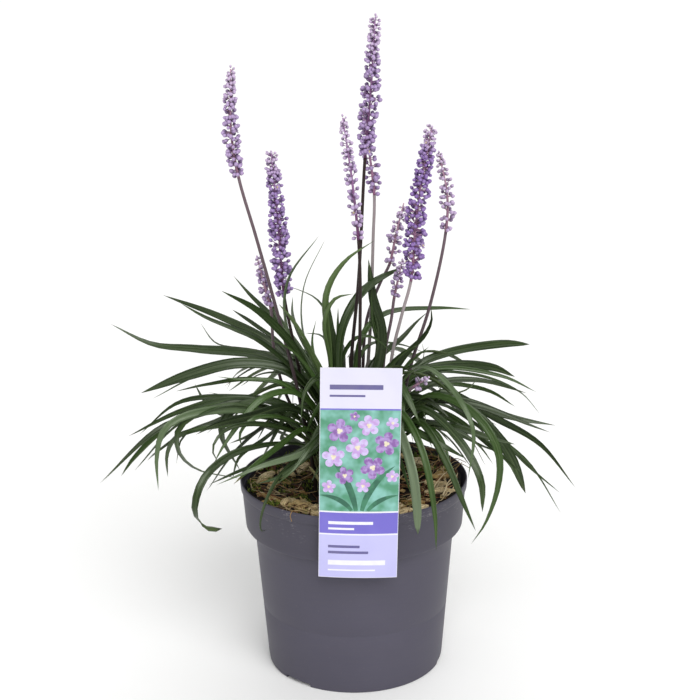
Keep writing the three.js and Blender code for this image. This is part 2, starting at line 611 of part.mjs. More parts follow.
const crownHole = { radius: CROWN.radius + FIT + 0.05, sides: CROWN.sides, below: CROWN.below + FIT };
const stemHole = { radius: STEM.holeRadius, sides: 5, below: STEM.depth + FIT };
const stands = [
  ...CROWNS.map(([name]) => [crownPlace(name), crownHole]),
  ...SPIKES.map(({ foot }) => [foot, stemHole]),
].map(([[x, y], hole]) => ({ x, y, ...hole }));
put('pot', pot(), FINISH.pot);
put('soil', soil(stands), FINISH.soil);
put('label', label(), FINISH.label);

const random = randomSource(5511);
for (const spike of SPIKES) {
  const { name, tone, foot, flowersFrom, way } = spike;
  const straight = [-STEM.depth, -2, 12].map((height) => [...foot, SOIL_HEIGHT + height]);
  const curve = smoothWay([...straight, ...way]);
  const start = placeAtHeight(curve, flowersFrom);
  put(`stem_${name}`, stem(curve, start - FIT / curve.getLength()), FINISH[tone]);
  put(`spike_${name}`, flowerHead(curve, start, spike, random), FINISH.flower);
}
for (const [name, bodies] of growTufts([...fixed])) {
  put(`tuft_${name}`, bodies.reduce((sum, body) => sum.add(body)), FINISH.leaf);
}

export default plant;
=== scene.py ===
"""Looks of a potted liriope, built round its packed model: pot, mulch, label, leaves, stems and flowers.

Every piece is in metres, in the frame of the packed model. The leaves and flower spikes follow the same
ways as the solids that they stand for, with finer shapes.
"""
import math
from bisect import bisect_right

import bmesh
import bpy
from bpy.props import FloatProperty, FloatVectorProperty, IntProperty, PointerProperty
from mathutils import Matrix, Vector, noise
from mathutils.bvhtree import BVHTree


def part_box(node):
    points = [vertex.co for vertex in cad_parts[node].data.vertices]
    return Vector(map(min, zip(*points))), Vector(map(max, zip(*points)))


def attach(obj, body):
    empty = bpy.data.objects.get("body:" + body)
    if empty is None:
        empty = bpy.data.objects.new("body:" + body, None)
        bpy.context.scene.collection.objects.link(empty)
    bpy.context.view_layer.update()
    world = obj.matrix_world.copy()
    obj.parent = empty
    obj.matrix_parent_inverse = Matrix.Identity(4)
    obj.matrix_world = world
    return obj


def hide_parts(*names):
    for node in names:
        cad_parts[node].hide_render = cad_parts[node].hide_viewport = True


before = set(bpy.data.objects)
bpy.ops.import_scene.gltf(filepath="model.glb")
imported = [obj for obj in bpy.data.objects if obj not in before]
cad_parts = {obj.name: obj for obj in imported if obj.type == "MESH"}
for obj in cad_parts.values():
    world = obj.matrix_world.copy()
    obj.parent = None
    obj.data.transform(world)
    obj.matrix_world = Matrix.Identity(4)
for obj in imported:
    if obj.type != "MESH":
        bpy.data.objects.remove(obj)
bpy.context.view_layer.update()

bl_info = {
    "name": "Potted Liriope",
    "version": (1, 0, 0),
    "blender": (4, 5, 0),
    "location": "View3D > Sidebar > Liriope",
    "description": "Dresses the packed model of a liriope in a plain nursery pot",
    "category": "Object",
}

MM = 0.001

# ------------------------------------------------------------------ driving sizes, millimetres
POT_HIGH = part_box("pot")[1]
RIM_RADIUS = POT_HIGH.x / MM
RIM_ROUND = 1.4  # height of the rim's rounded crest
POT_HEIGHT = POT_HIGH.z / MM
POT_WALL = 1.5
LIP = (84.3, 139.2)  # radius and height of the lip's lower edge
COLLAR_TOP = (83.2, 137.6)
COLLAR = (81.2, 111.2)  # lower edge of the deep collar
UNDERCUT = (79.8, 109.5)  # its underside
NECK = (74.7, 108.8)  # where the body meets it
BODY_FOOT = (66.6, 6)
FOOT_RADIUS = 65.9
FOOT_CHAMFER = 0.8
FLOOR_DISC = 42
GROOVE = (44, 59, 61, 3)  # inner and outer radius of its top, outer radius below, depth
NOTCH = {"angles": (-131, -11, 109), "depth": 12, "width": 24, "height": 3, "corner": 1.2}
DRAIN = {"count": 6, "radius": 4, "circle": 50.5}
FIT = 0.35  # clearance between neighbouring pieces
SOIL_HEIGHT = 131
SOIL_MOUND = 3
MULCH_HEAP = 7.5
CHIPS = {"count": 20, "length": (15, 28), "width": (6, 10), "thickness": 3.8, "nearest": 39, "farthest": 69}
LABEL = {
    "width": 55, "length": 153.8, "thickness": 0.8, "foot": Vector((2, -87.4, 102.2)),
    "head": Vector((5.9, -89.4, 256)), "bow_radius": 200, "tilt": 0.022, "bowed_length": 45,
}
STAKE = {"width": 14, "thickness": 1.2, "x": 3.5}
STAKE_WAY = ((-87.6, 190), (-81.6, 148), (-70.3, 112), (-66, 94))
CROWN_RADIUS = 5.2
CROWN_ABOVE = 9
CROWN_SHEATHS = 6
STEM_BASE_RADIUS = 1.45
STEM_TOP_RADIUS = 1.1
STEM_DEPTH = 16
AXIS_TIP_RADIUS = 0.45

# Crowns: name, bearing from the pot's axis in degrees, distance from the axis.
CROWNS = {
    "east": (0, 22), "northeast": (36, 22), "north": (72, 22), "north_left": (108, 22),
    "northwest": (144, 22), "west": (180, 22), "southwest": (216, 22), "south_left": (252, 22),
    "south_right": (288, 22), "southeast": (324, 22), "mid_left": (190, 9), "mid_right": (330, 9),
    "mid_back": (80, 9),
}

# Long leaves: crown, width, roll in degrees, bearing at the crown, change of bearing towards the tip,
# then pairs of distance from the crown and height above the table.
LEAVES = (
    ("mid_left", 7, -40, 164, 0, 49, 234, 107, 241, 140, 244, 171, 259),
    ("mid_left", 9, -62, 183, 0, 37, 228, 73, 235, 110, 227, 146, 214),
    ("southwest", 7, -45, 199, 0, 66, 215, 92, 210, 125, 202, 169, 167),
    ("southwest", 8, -70, 206, 0, 60, 210, 109, 214, 126, 206, 132, 188, 132, 162),
    ("east", 9, 62, -3, 0, 30, 204, 60, 203, 95, 191, 127, 185),
    ("east", 8, 55, 7, 0, 43, 208, 85, 185, 119, 163, 148, 126),
    ("east", 9, 60, -15, 0, 38, 210, 67, 200, 94, 170, 107, 140),
    ("southeast", 8, 60, -36, 0, 45, 220, 81, 214, 101, 192, 103, 169, 93, 135, 81, 115),
    ("northeast", 7, 50, 28, 0, 34, 220, 60, 227, 111, 227, 137, 223),
    ("northeast", 8, 60, 22, 0, 27, 214, 54, 219, 96, 213, 116, 203),
    ("south_right", 9, 40, 300, -4, 18, 186, 46, 206, 70, 183, 80, 160, 84, 138),
    ("south_right", 8, 35, 308, -6, 16, 192, 42, 214, 70, 194, 88, 152, 93, 127),
    ("southwest", 8, -35, 228, 0, 34, 184, 96, 194, 125, 183, 133, 163, 124, 149, 109, 143),
    ("northwest", 7, -45, 155, 0, 46, 238, 88, 254, 141, 267),
    ("northeast", 8, 45, 14, 0, 42, 208, 76, 186, 119, 137, 149, 109),
    ("mid_left", 9, -55, 200, 0, 22, 223, 35, 248, 61, 278, 88, 296),
    ("northwest", 7, -35, 170, 0, 34, 196, 67, 199, 115, 193, 149, 165),
    ("west", 7, -40, 186, 0, 35, 202, 64, 209, 105, 200, 143, 183),
    ("west", 7, -30, 193, 0, 62, 208, 109, 197, 139, 173, 150, 159),
    ("southwest", 7, -50, 216, 0, 30, 220, 57, 221, 88, 195, 98, 182),
    ("southwest", 9, -60, 222, 0, 36, 211, 71, 213, 104, 214, 119, 211),
    ("mid_left", 8, -45, 150, 0, 35, 237, 49, 253, 63, 275, 64, 293),
    ("mid_left", 6, -30, 187, 0, 59, 252, 76, 261, 97, 271, 114, 282),
    ("mid_left", 6, -20, 195, 110, 5, 205, 11, 248, 26, 292, 32, 316, 44, 332),
    ("mid_left", 5, -20, 180, 0, 14, 205, 39, 262, 37, 296, 14, 328),
    ("mid_left", 5, 30, 215, 0, 27, 249, 42, 274, 52, 286),
    ("mid_left", 7, 35, 38, 0, 2, 258, 16, 279, 33, 289, 61, 296),
    ("mid_back", 8, -50, 150, 0, 15, 225, 21, 269, 24, 290),
    ("mid_back", 8, 45, 2, 55, 16, 227, 21, 257, 17, 282, 18, 310),
    ("mid_back", 6, 25, 40, 0, 8, 250, 27, 262, 80, 258, 116, 251),
    ("mid_back", 7, 30, 28, 0, 18, 226, 45, 241, 59, 251, 70, 257),
    ("mid_right", 7, 40, 10, 0, 31, 237, 46, 252, 51, 263, 50, 274),
    ("mid_right", 9, 55, -22, 0, 9, 216, 32, 245, 44, 253),
    ("mid_right", 7, 30, -34, 0, 14, 212, 42, 242, 56, 255),
    ("northwest", 5, -20, 163, 0, 41, 223, 103, 210, 149, 185),
    ("northwest", 6, -20, 138, 0, 74, 164, 127, 164, 139, 171, 149, 183),
    ("northwest", 6, -35, 147, 0, 35, 206, 82, 188, 114, 187),
    ("north_left", 7, -40, 140, 0, 49, 232, 76, 253, 94, 264, 112, 277),
    ("north_left", 7, -40, 128, 0, 55, 223, 124, 195, 149, 180, 160, 166),
    ("north_left", 6, 20, 118, 20, 20, 252, 32, 269, 57, 277),
    ("west", 5, -25, 202, 0, 49, 207, 81, 200, 107, 191, 113, 171),
    ("southwest", 7, -20, 206, 0, 76, 217, 114, 206, 116, 190, 104, 174, 70, 160),
    ("southwest", 6, -40, 229, 0, 78, 211, 107, 213, 117, 204, 111, 191),
    ("southwest", 8, -30, 201, 0, 37, 211, 69, 212, 81, 196, 68, 163),
    ("south_left", 7, -50, 251, -30, 27, 197, 55, 189, 91, 187, 115, 176),
    ("south_left", 6, -30, 255, -20, 32, 202, 53, 198, 74, 182, 84, 172),
    ("south_left", 7, 20, 254, 3, 18, 192, 43, 209, 63, 190, 67, 164),
    ("northeast", 5, 30, 34, 0, 40, 210, 91, 203, 140, 179, 162, 156),
    ("east", 7, 40, 20, 0, 20, 205, 41, 215, 73, 215, 109, 203),
    ("east", 7, -20, -22, 0, 23, 199, 49, 212, 66, 220, 72, 228),
    ("east", 7, 50, -9, 0, 22, 202, 66, 203, 111, 188, 123, 184),
    ("east", 5, 20, -34, 0, 23, 192, 65, 191, 81, 184, 93, 172),
    ("east", 7, 35, -28, 0, 22, 188, 53, 192, 90, 187, 105, 186),
    ("southeast", 7, 55, -28, 0, 22, 190, 43, 209, 48, 217, 51, 227),
    ("southeast", 7, 35, -46, 0, 42, 212, 80, 197, 100, 173, 102, 150),
    ("southeast", 6, 20, -54, 0, 49, 245, 78, 241, 106, 216, 102, 178),
    ("southeast", 8, 45, 305, 6, 24, 188, 48, 205, 74, 184, 91, 156, 101, 137),
    ("southeast", 7, 40, 286, 22, 38, 198, 63, 193, 80, 181),
)

# Filling leaves: crown, how many, range of their reach.
FILLERS = (
    ("north", 8, 90, 150), ("north_left", 3, 80, 145), ("northeast", 4, 80, 140), ("northwest", 2, 60, 120),
    ("mid_back", 3, 70, 120), ("mid_right", 4, 50, 95), ("southeast", 2, 50, 85), ("south_right", 4, 40, 66),
    ("south_left", 4, 40, 66), ("west", 3, 50, 95),
)
FILLER_SPREAD = 34
TURNS = (0, 2, -2, 4, -4, 6, -6, 9, -9, 12, -12, 16, -16)
LIFTS = (0, 5, -5, 10, -10)

# Flower spikes: tone of the stem, foot in the soil, height where the flowers start, radius of the head,
# share of pale young buds, then points from the foot to the tip.
SPIKES = {
    "1": ("brown", (-28.5, -9.3), 372, 6.95, 0.55,
        ((-40, -10, 215), (-54, -10, 276), (-67, -11, 329), (-78, -12, 372), (-82, -13, 402),
         (-81, -14, 448))),
    "2": ("dark", (-28.5, 9.3), 282, 8.2, 0.25,
        ((-36, 8, 205), (-44, 6, 252), (-49, 6, 282), (-52, 7, 330), (-56, 8, 386))),
    "3": ("brown", (-17.6, 24.3), 268, 5.8, 0.6,
        ((-48, 23, 196), (-58, 21, 235), (-60, 23, 268), (-64, 24, 284), (-69, 26, 306))),
    "4": ("dark", (0, -30), 330, 6.4, 0.68,
        ((4, -25, 190), (5, -23, 240), (6, -26, 300), (5, -27, 330), (1, -29, 372), (-5, -30, 416))),
    "5": ("dark", (-1.4, -7.9), 384, 8, 0.45,
        ((-2, -7, 190), (-1, -6, 234), (5, -6, 297), (10, -6, 381), (12, -6, 402), (15, -6, 436),
         (18, -6, 481))),
    "6": ("pale", (0, 29), 352, 6.6, 0.45,
        ((8, 26, 190), (13, 24, 245), (16, 24, 320), (17, 25, 352), (14, 25, 380), (9, 26, 415))),
    "7": ("brown", (2, 37), 298, 6.8, 0.7,
        ((7, 36, 200), (11, 34, 256), (22, 34, 286), (28, 34, 298), (33, 36, 320), (39, 38, 344))),
    "8": ("pale", (28.5, -9.3), 297, 8.6, 0.1,
        ((27, -12, 195), (28, -13, 238), (36, -14, 274), (42, -14, 297), (45, -15, 334), (49, -15, 366),
         (56, -16, 405))),
    "9": ("brown", (28.5, 9.3), 327, 6.4, 0.78,
        ((35, 7, 190), (43, 6, 229), (57, 8, 274), (68, 10, 327), (69, 11, 353), (63, 12, 384))),
    "10": ("brown", (17.6, 24.3), 276, 5.6, 0.6,
        ((21, 20, 195), (24, 18, 235), (29, 18, 261), (31, 19, 276), (34, 20, 290), (37, 20, 304))),
    "11": ("brown", (17.6, -24.3), 224, 5.4, 0.8,
        ((21, -31, 185), (36, -33, 217), (43, -33, 224), (53, -34, 231))),
}

# ------------------------------------------------------------------ finer sizes of the dressed pieces
# Where each row of random numbers begins: chips and filling leaves begin where those of the solids do.
SEEDS = {
    "mulch": 7331, "chips": 4127, "filling leaves": 90210, "fine leaves": 35791, "leaves": 60607,
    "spikes": 24681,
}
LEAF_ROWS = 30  # rows of faces along a leaf
LEAF_COLUMNS = 4  # and across each of its two faces
LEAF_THICKNESS = 0.6  # at the midrib
# Finer leaves stay above a height from one distance to another: over the soil, the rim and the table.
KEPT_ABOVE = ((-1, 84, SOIL_HEIGHT + 7), (76, 89, POT_HEIGHT + 3), (-1, math.inf, 122))
LABEL_SPACE = (-31, 37, -80, 262)  # left, right, front and top of the space that they leave to the label
REARMOST_LEAF = 143
LEAF_SAMPLES = (0.45, 0.6, 0.75, 0.9, 1.0)  # where a leaf is compared with its solid
LEAF_MATCH = 2.6  # how near its solid it has to be there
FINE_SHARE = 0.85  # how many of the long leaves have a finer one beside them
LEAF_LAYERS = ("across", "along", "tone", "under", "dry")  # what a leaf's surface tells its material
BUD_LAYERS = ("along", "tone", "age")
# Leaves with a look of their own, by their place in the list: tone (0 deep, 1 fresh, 2 silvery, a painted
# sheen), width as a share of the solid's, and how much fuller the end is.
LEAF_LOOKS = {
    0: (0.3, 1.12, 0), 1: (0.25, 0.95, 1), 2: (0.1, 0.7, 0), 3: (1.55, 0.76, 0), 5: (0.15, 0.7, 0),
    6: (0.2, 0.85, 4), 7: (0.8, 0.7, 0), 8: (0.3, 1, 2), 9: (0.2, 0.98, 2), 10: (1.9, 0.74, 5),
    11: (0.85, 0.62, 1), 12: (0.25, 0.66, 30), 14: (0.35, 0.66, 0), 19: (0.95, 0.7, 0), 26: (0.4, 0.95, 0),
    28: (0.2, 1, 0), 44: (1.8, 0.62, 0), 54: (0.3, 0.8, 5), 55: (1.4, 0.66, 0), 56: (0.5, 0.62, 0),
}
TURNED_ENDS = {12: 70}  # leaves whose end turns over: number in LEAVES and degrees
STEM_SIDES = 12
FULL_HEAD, BROAD_HEAD = 6.9, 8  # above these radii a spike has a group more in each ring
SHRED_SIDES = 10
FRONT_CHIPS = (  # chips that lie on the others: place, bearing, length, width
    (-46, -31, -28, 13, 5.5), (-37, -40, -12, 15, 7), (-37, -51, 20, 11, 6), (-29, -53, 35, 13, 6),
    (-25, -64, 8, 11, 5.5), (-50, -42, 75, 9, 5), (35, -63, 12, 13, 6), (30, -55, 60, 9, 5),
    (48, -57, 30, 10, 5), (20, -66, -20, 9, 5), (33, 30, 15, 12, 6), (-8, -66, 15, 12, 6),
    (8, -70, -5, 10, 5),
)
SHRED_SHARES = (0, 0.01, 0.2, 0.4, 0.6, 0.8, 0.99, 1)  # where a shred of bark has its rows
CHIP_TILT = (0.2, 0.4)  # how far a chip tips along and across, in radians
GOLDEN_ANGLE = 137.5  # degrees from one large chip to the next
SOIL_RINGS = 64
MULCH_REACH = 77  # no shred or root lies farther from the pot's axis
STRAWS = 7  # broad pale straws that lie together on the right
FALLEN_ROOT = ((-37, -64, 139), (-41, -70, 145), (-43, -74, 147.4), (-44.6, -76, 144.5), (-43.6, -75.8, 140))
RIM_ROOTS = 7  # roots that stick out over the rim at the back right
MOSS_TUFTS = 90
MOSS_LEAVES = 22  # in each tuft
PRINT_EDGE = 0.3  # bare white edge of the label
STACKING_RING = (47, 0.22)  # height and depth of the faint ring round the pot's body
PRINT_DEPTH = 0.1  # how far a printed shape stands proud
BANDS = ((0, "panel"), (32.2, "line"), (33.3, "band"), (48.9, "line"), (50, "picture"), (124, "rule"),
         (125.1, "top"), (153.8, None))  # lower edge of each printed band, from the label's foot
# Inks: name, two shades, patches a millimetre, and where one shade goes over into the other.
INKS = (
    ("White polypropylene strip", "#e3e2ee", "#e8e7f2"), ("Ink, lilac white", "#d5d3e5", "#d9d7e8", 0.03),
    ("Ink, soft greens", "#4c8f6f", "#84bcb2", 0.09, 0.36, 0.64),
    ("Ink, violet blue", "#6e64c2", "#746ac7", 0.05),
    ("Ink, pale violet", "#b8b6e4", "#bdbbe7", 0.03), ("Ink, grey violet", "#5f5a90", "#68638f", 0.1),
    ("Ink, violet petals", "#845a9f", "#ac92ca", 0.3), ("Ink, lilac petals", "#bd98d3", "#cbc0e6", 0.3),
    ("Ink, deep green", "#27604a", "#3a7c5c", 0.12), ("Ink, cream", "#dcd2b4", "#e6ddc4", 0.3),
)
PAPER, TOP, PICTURE, BAND, PANEL, GREY, VIOLET, LILAC, FROND, HEART = range(len(INKS))
BAND_INK = {"panel": PANEL, "line": PAPER, "band": BAND, "picture": PICTURE, "rule": BAND, "top": TOP}
# The plain design, in millimetres from the label's middle line and its foot.
BARS = (  # left end, lower edge, width, height, ink
    (-21, 138.6, 36, 3.4, GREY), (-21, 133.4, 24, 1.4, GREY), (-21, 40.2, 31, 2.2, PAPER),
    (-21, 36.2, 18, 1.5, PAPER), (-21, 22.6, 22, 1.9, GREY), (-21, 18.2, 28, 1.9, GREY),
    (-21, 9.6, 40, 3.6, PAPER), (-21, 5.2, 33, 1.1, PAPER),
)
FRONDS = (  # foot, length, width, lean and bend in degrees
    (-5, 50.6, 25, 3.6, -34, -30), (2, 50.6, 40, 4.4, 12, 22), (-2, 50.6, 48, 4.6, -10, -16),
    (6, 50.6, 24, 3.4, 36, 26),
)
BLOSSOMS = (  # middle, radius, turn in radians, ink
    (-14, 109, 8.8, 0.2, VIOLET), (6, 113, 7.6, 0.5, LILAC), (18, 100, 8.6, 0.1, VIOLET),
    (-1.5, 97, 8.2, 0.7, LILAC), (-18, 90, 8, 0.4, LILAC), (9, 82.5, 8.6, 0.9, VIOLET),
    (22.5, 76, 4.6, 0.3, LILAC), (-10, 76.5, 6.6, 0.6, VIOLET), (-21, 68, 5, 0.2, LILAC),
    (22, 115, 4.6, 0.8, LILAC), (-4, 119.5, 3.6, 0.1, VIOLET), (2.5, 69, 5.2, 0.3, LILAC),
)
PETALS, HEART_PETALS = 5, 3
OPEN_SHARE = 0.025  # how many of the large buds are open
OUTLINE_POINTS = 12  # on each petal, and along each side of a frond


# ------------------------------------------------------------------ numbers and curves
def lerp(a, b, share):
    """The value that far from a to b."""
    return a + (b - a) * share


def smoothstep(value, low, high):
    """0 below low, 1 above high, and smooth between."""
    share = min(1, max(0, (value - low) / (high - low)))
    return share * share * (3 - 2 * share)


def around(degrees, distance):
    """The x and y of a point at that bearing and distance."""
    angle = math.radians(degrees)
    return distance * math.cos(angle), distance * math.sin(angle)


def random_source(state):
    """The same seeded source as the solids have: each call gives the next number from low to high."""
    def draw(low=0, high=1):
        nonlocal state
        state = state * 16807 % 2147483647
        return low + (high - low) * (state / 2147483647)

    return draw


def curve_point(points, place):
    """A point of the centripetal Catmull-Rom curve through points, where each span has an equal share."""
    spans = len(points) - 1
    i = min(int(place * spans), spans - 1)
    share = place * spans - i
    p1, p2 = points[i], points[i + 1]
    p0 = points[i - 1] if i > 0 else 2 * p1 - p2
    p3 = points[i + 2] if i + 2 <= spans else 2 * p2 - p1
    d0, d1, d2 = [max(1e-4, (b - a).length) ** 0.5 for a, b in ((p0, p1), (p1, p2), (p2, p3))]
    t1 = ((p1 - p0) / d0 - (p2 - p0) / (d0 + d1) + (p2 - p1) / d1) * d1
    t2 = ((p2 - p1) / d1 - (p3 - p1) / (d1 + d2) + (p3 - p2) / d2) * d1
    bend = 3 * (p2 - p1) - 2 * t1 - t2
    twist = 2 * (p1 - p2) + t1 + t2
    return p1 + t1 * share + bend * share ** 2 + twist * share ** 3


class Way:
    """A smooth way through points, the same curve that the solids follow."""

    def __init__(self, points, samples=160):
        points = [Vector(point) for point in points]
        self.sampled = [curve_point(points, i / samples) for i in range(samples + 1)]
        self.lengths = [0]
        for one, other in zip(self.sampled, self.sampled[1:]):
            self.lengths.append(self.lengths[-1] + (other - one).length)
        self.length = self.lengths[-1]

    def at(self, share):
        """The point at a share of the length."""
        wanted = min(1, max(0, share)) * self.length
        low = min(bisect_right(self.lengths, wanted), len(self.lengths) - 1) - 1
        span = self.lengths[low + 1] - self.lengths[low]
        return self.sampled[low].lerp(self.sampled[low + 1], (wanted - self.lengths[low]) / max(span, 1e-9))

    def along(self, share):
        """The direction there."""
        return (self.at(share + 0.004) - self.at(share - 0.004)).normalized()

    def share_at_height(self, height):
        """The share of the length at which it first reaches a height."""
        for length, one, other in zip(self.lengths, self.sampled, self.sampled[1:]):
            if other.z >= height:
                share = (height - one.z) / max(other.z - one.z, 1e-9)
                return (length + max(0, share) * (other - one).length) / self.length
        return 1


# ------------------------------------------------------------------ meshes
def rotation(angle, axis):
    """A turn by that many radians."""
    return Matrix.Rotation(angle, 4, axis)


def pointing(place, direction):
    """Sets a shape that stands along Z at a place in millimetres, along a direction."""
    return Matrix.Translation(place * MM) @ direction.to_track_quat("Z", "Y").to_matrix().to_4x4()


def grid(bm, columns, rows):
    """The vertices of a new grid, each with its column and row."""
    made = bmesh.ops.create_grid(bm, x_segments=columns, y_segments=rows, size=0.5)["verts"]
    return [(vertex, round((vertex.co.x + 0.5) * columns), round((vertex.co.y + 0.5) * rows))
            for vertex in made]


def give_values(vertex, layers, values):
    for layer, value in zip(layers, values):
        vertex[layer] = value


def wrapped_grid(bm, sides, rows, place, layers=()):
    """A tube from a grid whose two long edges meet. place(i, j) gives a point in mm and layer values."""
    made = grid(bm, sides, rows)
    for vertex, i, j in made:
        point, values = place(i % sides, j)
        vertex.co = point * MM
        give_values(vertex, layers, values)
    bmesh.ops.remove_doubles(bm, verts=[vertex for vertex, _, _ in made], dist=1e-6)


def tube(bm, way, radius_of, sides, rows, first=0.0, last=1.0, layers=(), values=()):
    """A closed round tube along a way, with flat ends."""
    rings = []
    for j in range(rows + 1):
        done = min(1, max(0, (j - 1) / (rows - 2)))
        share = lerp(first, last, done)
        along = way.along(share)
        across = Vector((0, -1, 0)).cross(along).normalized()
        rings.append((way.at(share), across, along.cross(across), done))

    def place(i, j):
        centre, across, up, done = rings[j]
        radius = 0 if j in (0, rows) else radius_of(done)
        angle = math.tau * i / sides
        return centre + (across * math.cos(angle) + up * math.sin(angle)) * radius, (done, *values)

    wrapped_grid(bm, sides, rows, place, layers)


def new_layers(bm, *names):
    """Number attributes that a material reads along a surface."""
    return [bm.verts.layers.float.new(name) for name in names]


def mesh_from(name, bm):
    """A mesh of that name, and the end of the bmesh."""
    mesh = bpy.data.meshes.new(name)
    bm.to_mesh(mesh)
    bm.free()
    return mesh


def absorb(bm, part):
    """Moves a small bmesh into a large one, as operators are only quick on a small one."""
    mesh = mesh_from("part", part)
    bm.from_mesh(mesh)
    bpy.data.meshes.remove(mesh)


def new_object(name, data):
    made = bpy.data.objects.new(name, data)
    bpy.context.scene.collection.objects.link(made)
    return made


def finished_piece(name, bm, materials, replaced=(), sharp=None):
    """Makes a bmesh the mesh of a new piece, which rides on the pot and stands for the replaced nodes."""
    bmesh.ops.recalc_face_normals(bm, faces=bm.faces[:])
    for face in bm.faces:
        face.smooth = True
    mesh = mesh_from(name, bm)
    if sharp:
        mesh.set_sharp_from_angle(angle=math.radians(sharp))
    for material in materials:
        mesh.materials.append(material)
    piece = new_object(name, mesh)
    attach(piece, "root")
    if replaced:
        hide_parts(*replaced)
    return piece


def faces_of(vertices):
    return {face for vertex in vertices for face in vertex.link_faces}


def set_material(faces, index):
    for face in faces:
        face.material_index = index


# ------------------------------------------------------------------ materials
def linear(hex_colour):
    """A linear colour from an sRGB hex value."""
    channels = [int(hex_colour[i:i + 2], 16) / 255 for i in (1, 3, 5)]
    return (*[c / 12.92 if c <= 0.04045 else ((c + 0.055) / 1.055) ** 2.4 for c in channels], 1)


def shade_of(colour, share=1):
    """A colour from the panel for a material, made that much lighter or darker."""
    return (*[channel * share for channel in colour], 1)


# How far a noise pattern is broken up.
SOFT = {"Detail": 2, "Roughness": 0.55}
FINE = {"Detail": 3, "Roughness": 0.55}
BUSY = {"Detail": 4, "Roughness": 0.55}


class Finish:
    """A material in the making: its node tree, its shader, and in body its colour so far."""

    def __init__(self, name, body, **shader_values):
        self.material = bpy.data.materials.new(name)
        self.material.use_nodes = True
        self.tree = self.material.node_tree
        self.shader = self.tree.nodes["Principled BSDF"]
        self.body = body
        for socket, value in shader_values.items():
            self.shader.inputs[socket.replace("_", " ")].default_value = value

    def node(self, kind, inputs=None, output=0, ramp=(), **settings):
        """Adds a node, with its settings, its ramp's stops, and values or links for its inputs."""
        made = self.tree.nodes.new("ShaderNode" + kind)
        for key, value in settings.items():
            setattr(made, key, value)
        for socket, value in (inputs or {}).items():
            if isinstance(value, bpy.types.NodeSocket):
                self.tree.links.new(value, made.inputs[socket])
            else:
                made.inputs[socket].default_value = linear(value) if isinstance(value, str) else value
        if ramp:
            stops = made.color_ramp.elements
            while len(stops) < len(ramp):
                stops.new(1)
            for stop, (position, colour) in zip(stops, ramp):
                stop.position = position
                stop.color = linear(colour) if isinstance(colour, str) else colour
        return made.outputs[output]

    def place(self, *stretch):
        """Object coordinates in millimetres, stretched where a pattern runs one way."""
        place = self.node("TexCoord", output="Object")
        return self.node("Mapping", {"Vector": place, "Scale": [s / MM for s in stretch or (1, 1, 1)]})

    def lay(self, mask, colour, share=1, band=(0, 1)):
        """Lays a colour over the body, up to that share, while the mask goes from band's first value to its
        last."""
        low, high = band
        mask = self.node("MapRange", {"Value": mask, "From Min": low, "From Max": high, "To Max": share})
        self.body = self.node("Mix", {0: mask, 6: self.body, 7: colour}, 2, data_type="RGBA")

    def roughen(self, value, first, last, low, high):
        """Roughness from low to high while a value goes from first to last."""
        rough = self.node("MapRange", {"Value": value, "From Min": first, "From Max": last, "To Min": low,
                                       "To Max": high})
        self.tree.links.new(rough, self.shader.inputs["Roughness"])

    def finished(self, height=None, depth=0.0, strength=1.0):
        """The material, with its body colour, and with a bump of that depth in millimetres."""
        self.tree.links.new(self.body, self.shader.inputs["Base Color"])
        if height is not None:
            bump = self.node("Bump", {"Height": height, "Distance": depth * MM, "Strength": strength})
            self.tree.links.new(bump, self.shader.inputs["Normal"])
        return self.material


def pot_plastic(colour):
    """Injection moulded polypropylene: satin, dark warm grey, with faint flow marks and pale scuffs."""
    plastic = Finish("Moulded polypropylene", shade_of(colour, 0.86), IOR=1.49, Specular_IOR_Level=0.2)
    place = plastic.place()
    cloud = plastic.node("TexNoise", {"Vector": place, "Scale": 0.02, **BUSY})
    plastic.lay(cloud, shade_of(colour, 1.12))
    flow = plastic.node("TexNoise", {"Vector": plastic.place(0.05, 0.05, 1.1), "Scale": 1, **SOFT})
    plastic.lay(flow, "#6b655f", 0.12)
    # Scuffs from stacking: short pale scratches in patches, near the rim and the collar's edge.
    height = plastic.node("SeparateXYZ", {"Vector": place}, "Z")
    scratch = plastic.node("TexNoise", {"Vector": plastic.place(0.25, 0.25, 1.6), "Scale": 1, "Detail": 5,
                                        "Roughness": 0.7})
    scratch = plastic.node("MapRange", {"Value": scratch, "From Min": 0.57, "From Max": 0.66})
    patch = plastic.node("TexNoise", {"Vector": place, "Scale": 0.06, **SOFT})
    patch = plastic.node("MapRange", {"Value": patch, "From Min": 0.5, "From Max": 0.6})
    high = plastic.node("MapRange", {"Value": height, "From Min": 120, "From Max": 138})
    scuffs = plastic.node("Math", {0: scratch, 1: patch}, operation="MULTIPLY")
    plastic.lay(plastic.node("Math", {0: scuffs, 1: high}, operation="MULTIPLY"), "#c4c1bf", 0.6)
    # Painted shade: the collar is painted a little darker than the body, where the leaves shade it.
    plastic.lay(height, "#343238", 0.3, (107, 113))
    dust = plastic.node("TexNoise", {"Vector": place, "Scale": 1.3, **SOFT})
    plastic.lay(dust, "#a59c90", 0.35, (0.72, 0.76))
    plastic.roughen(cloud, 0, 1, 0.4, 0.56)
    grain = plastic.node("TexNoise", {"Vector": place, "Scale": 2.2, **FINE})
    return plastic.finished(grain, 0.05, 0.5)


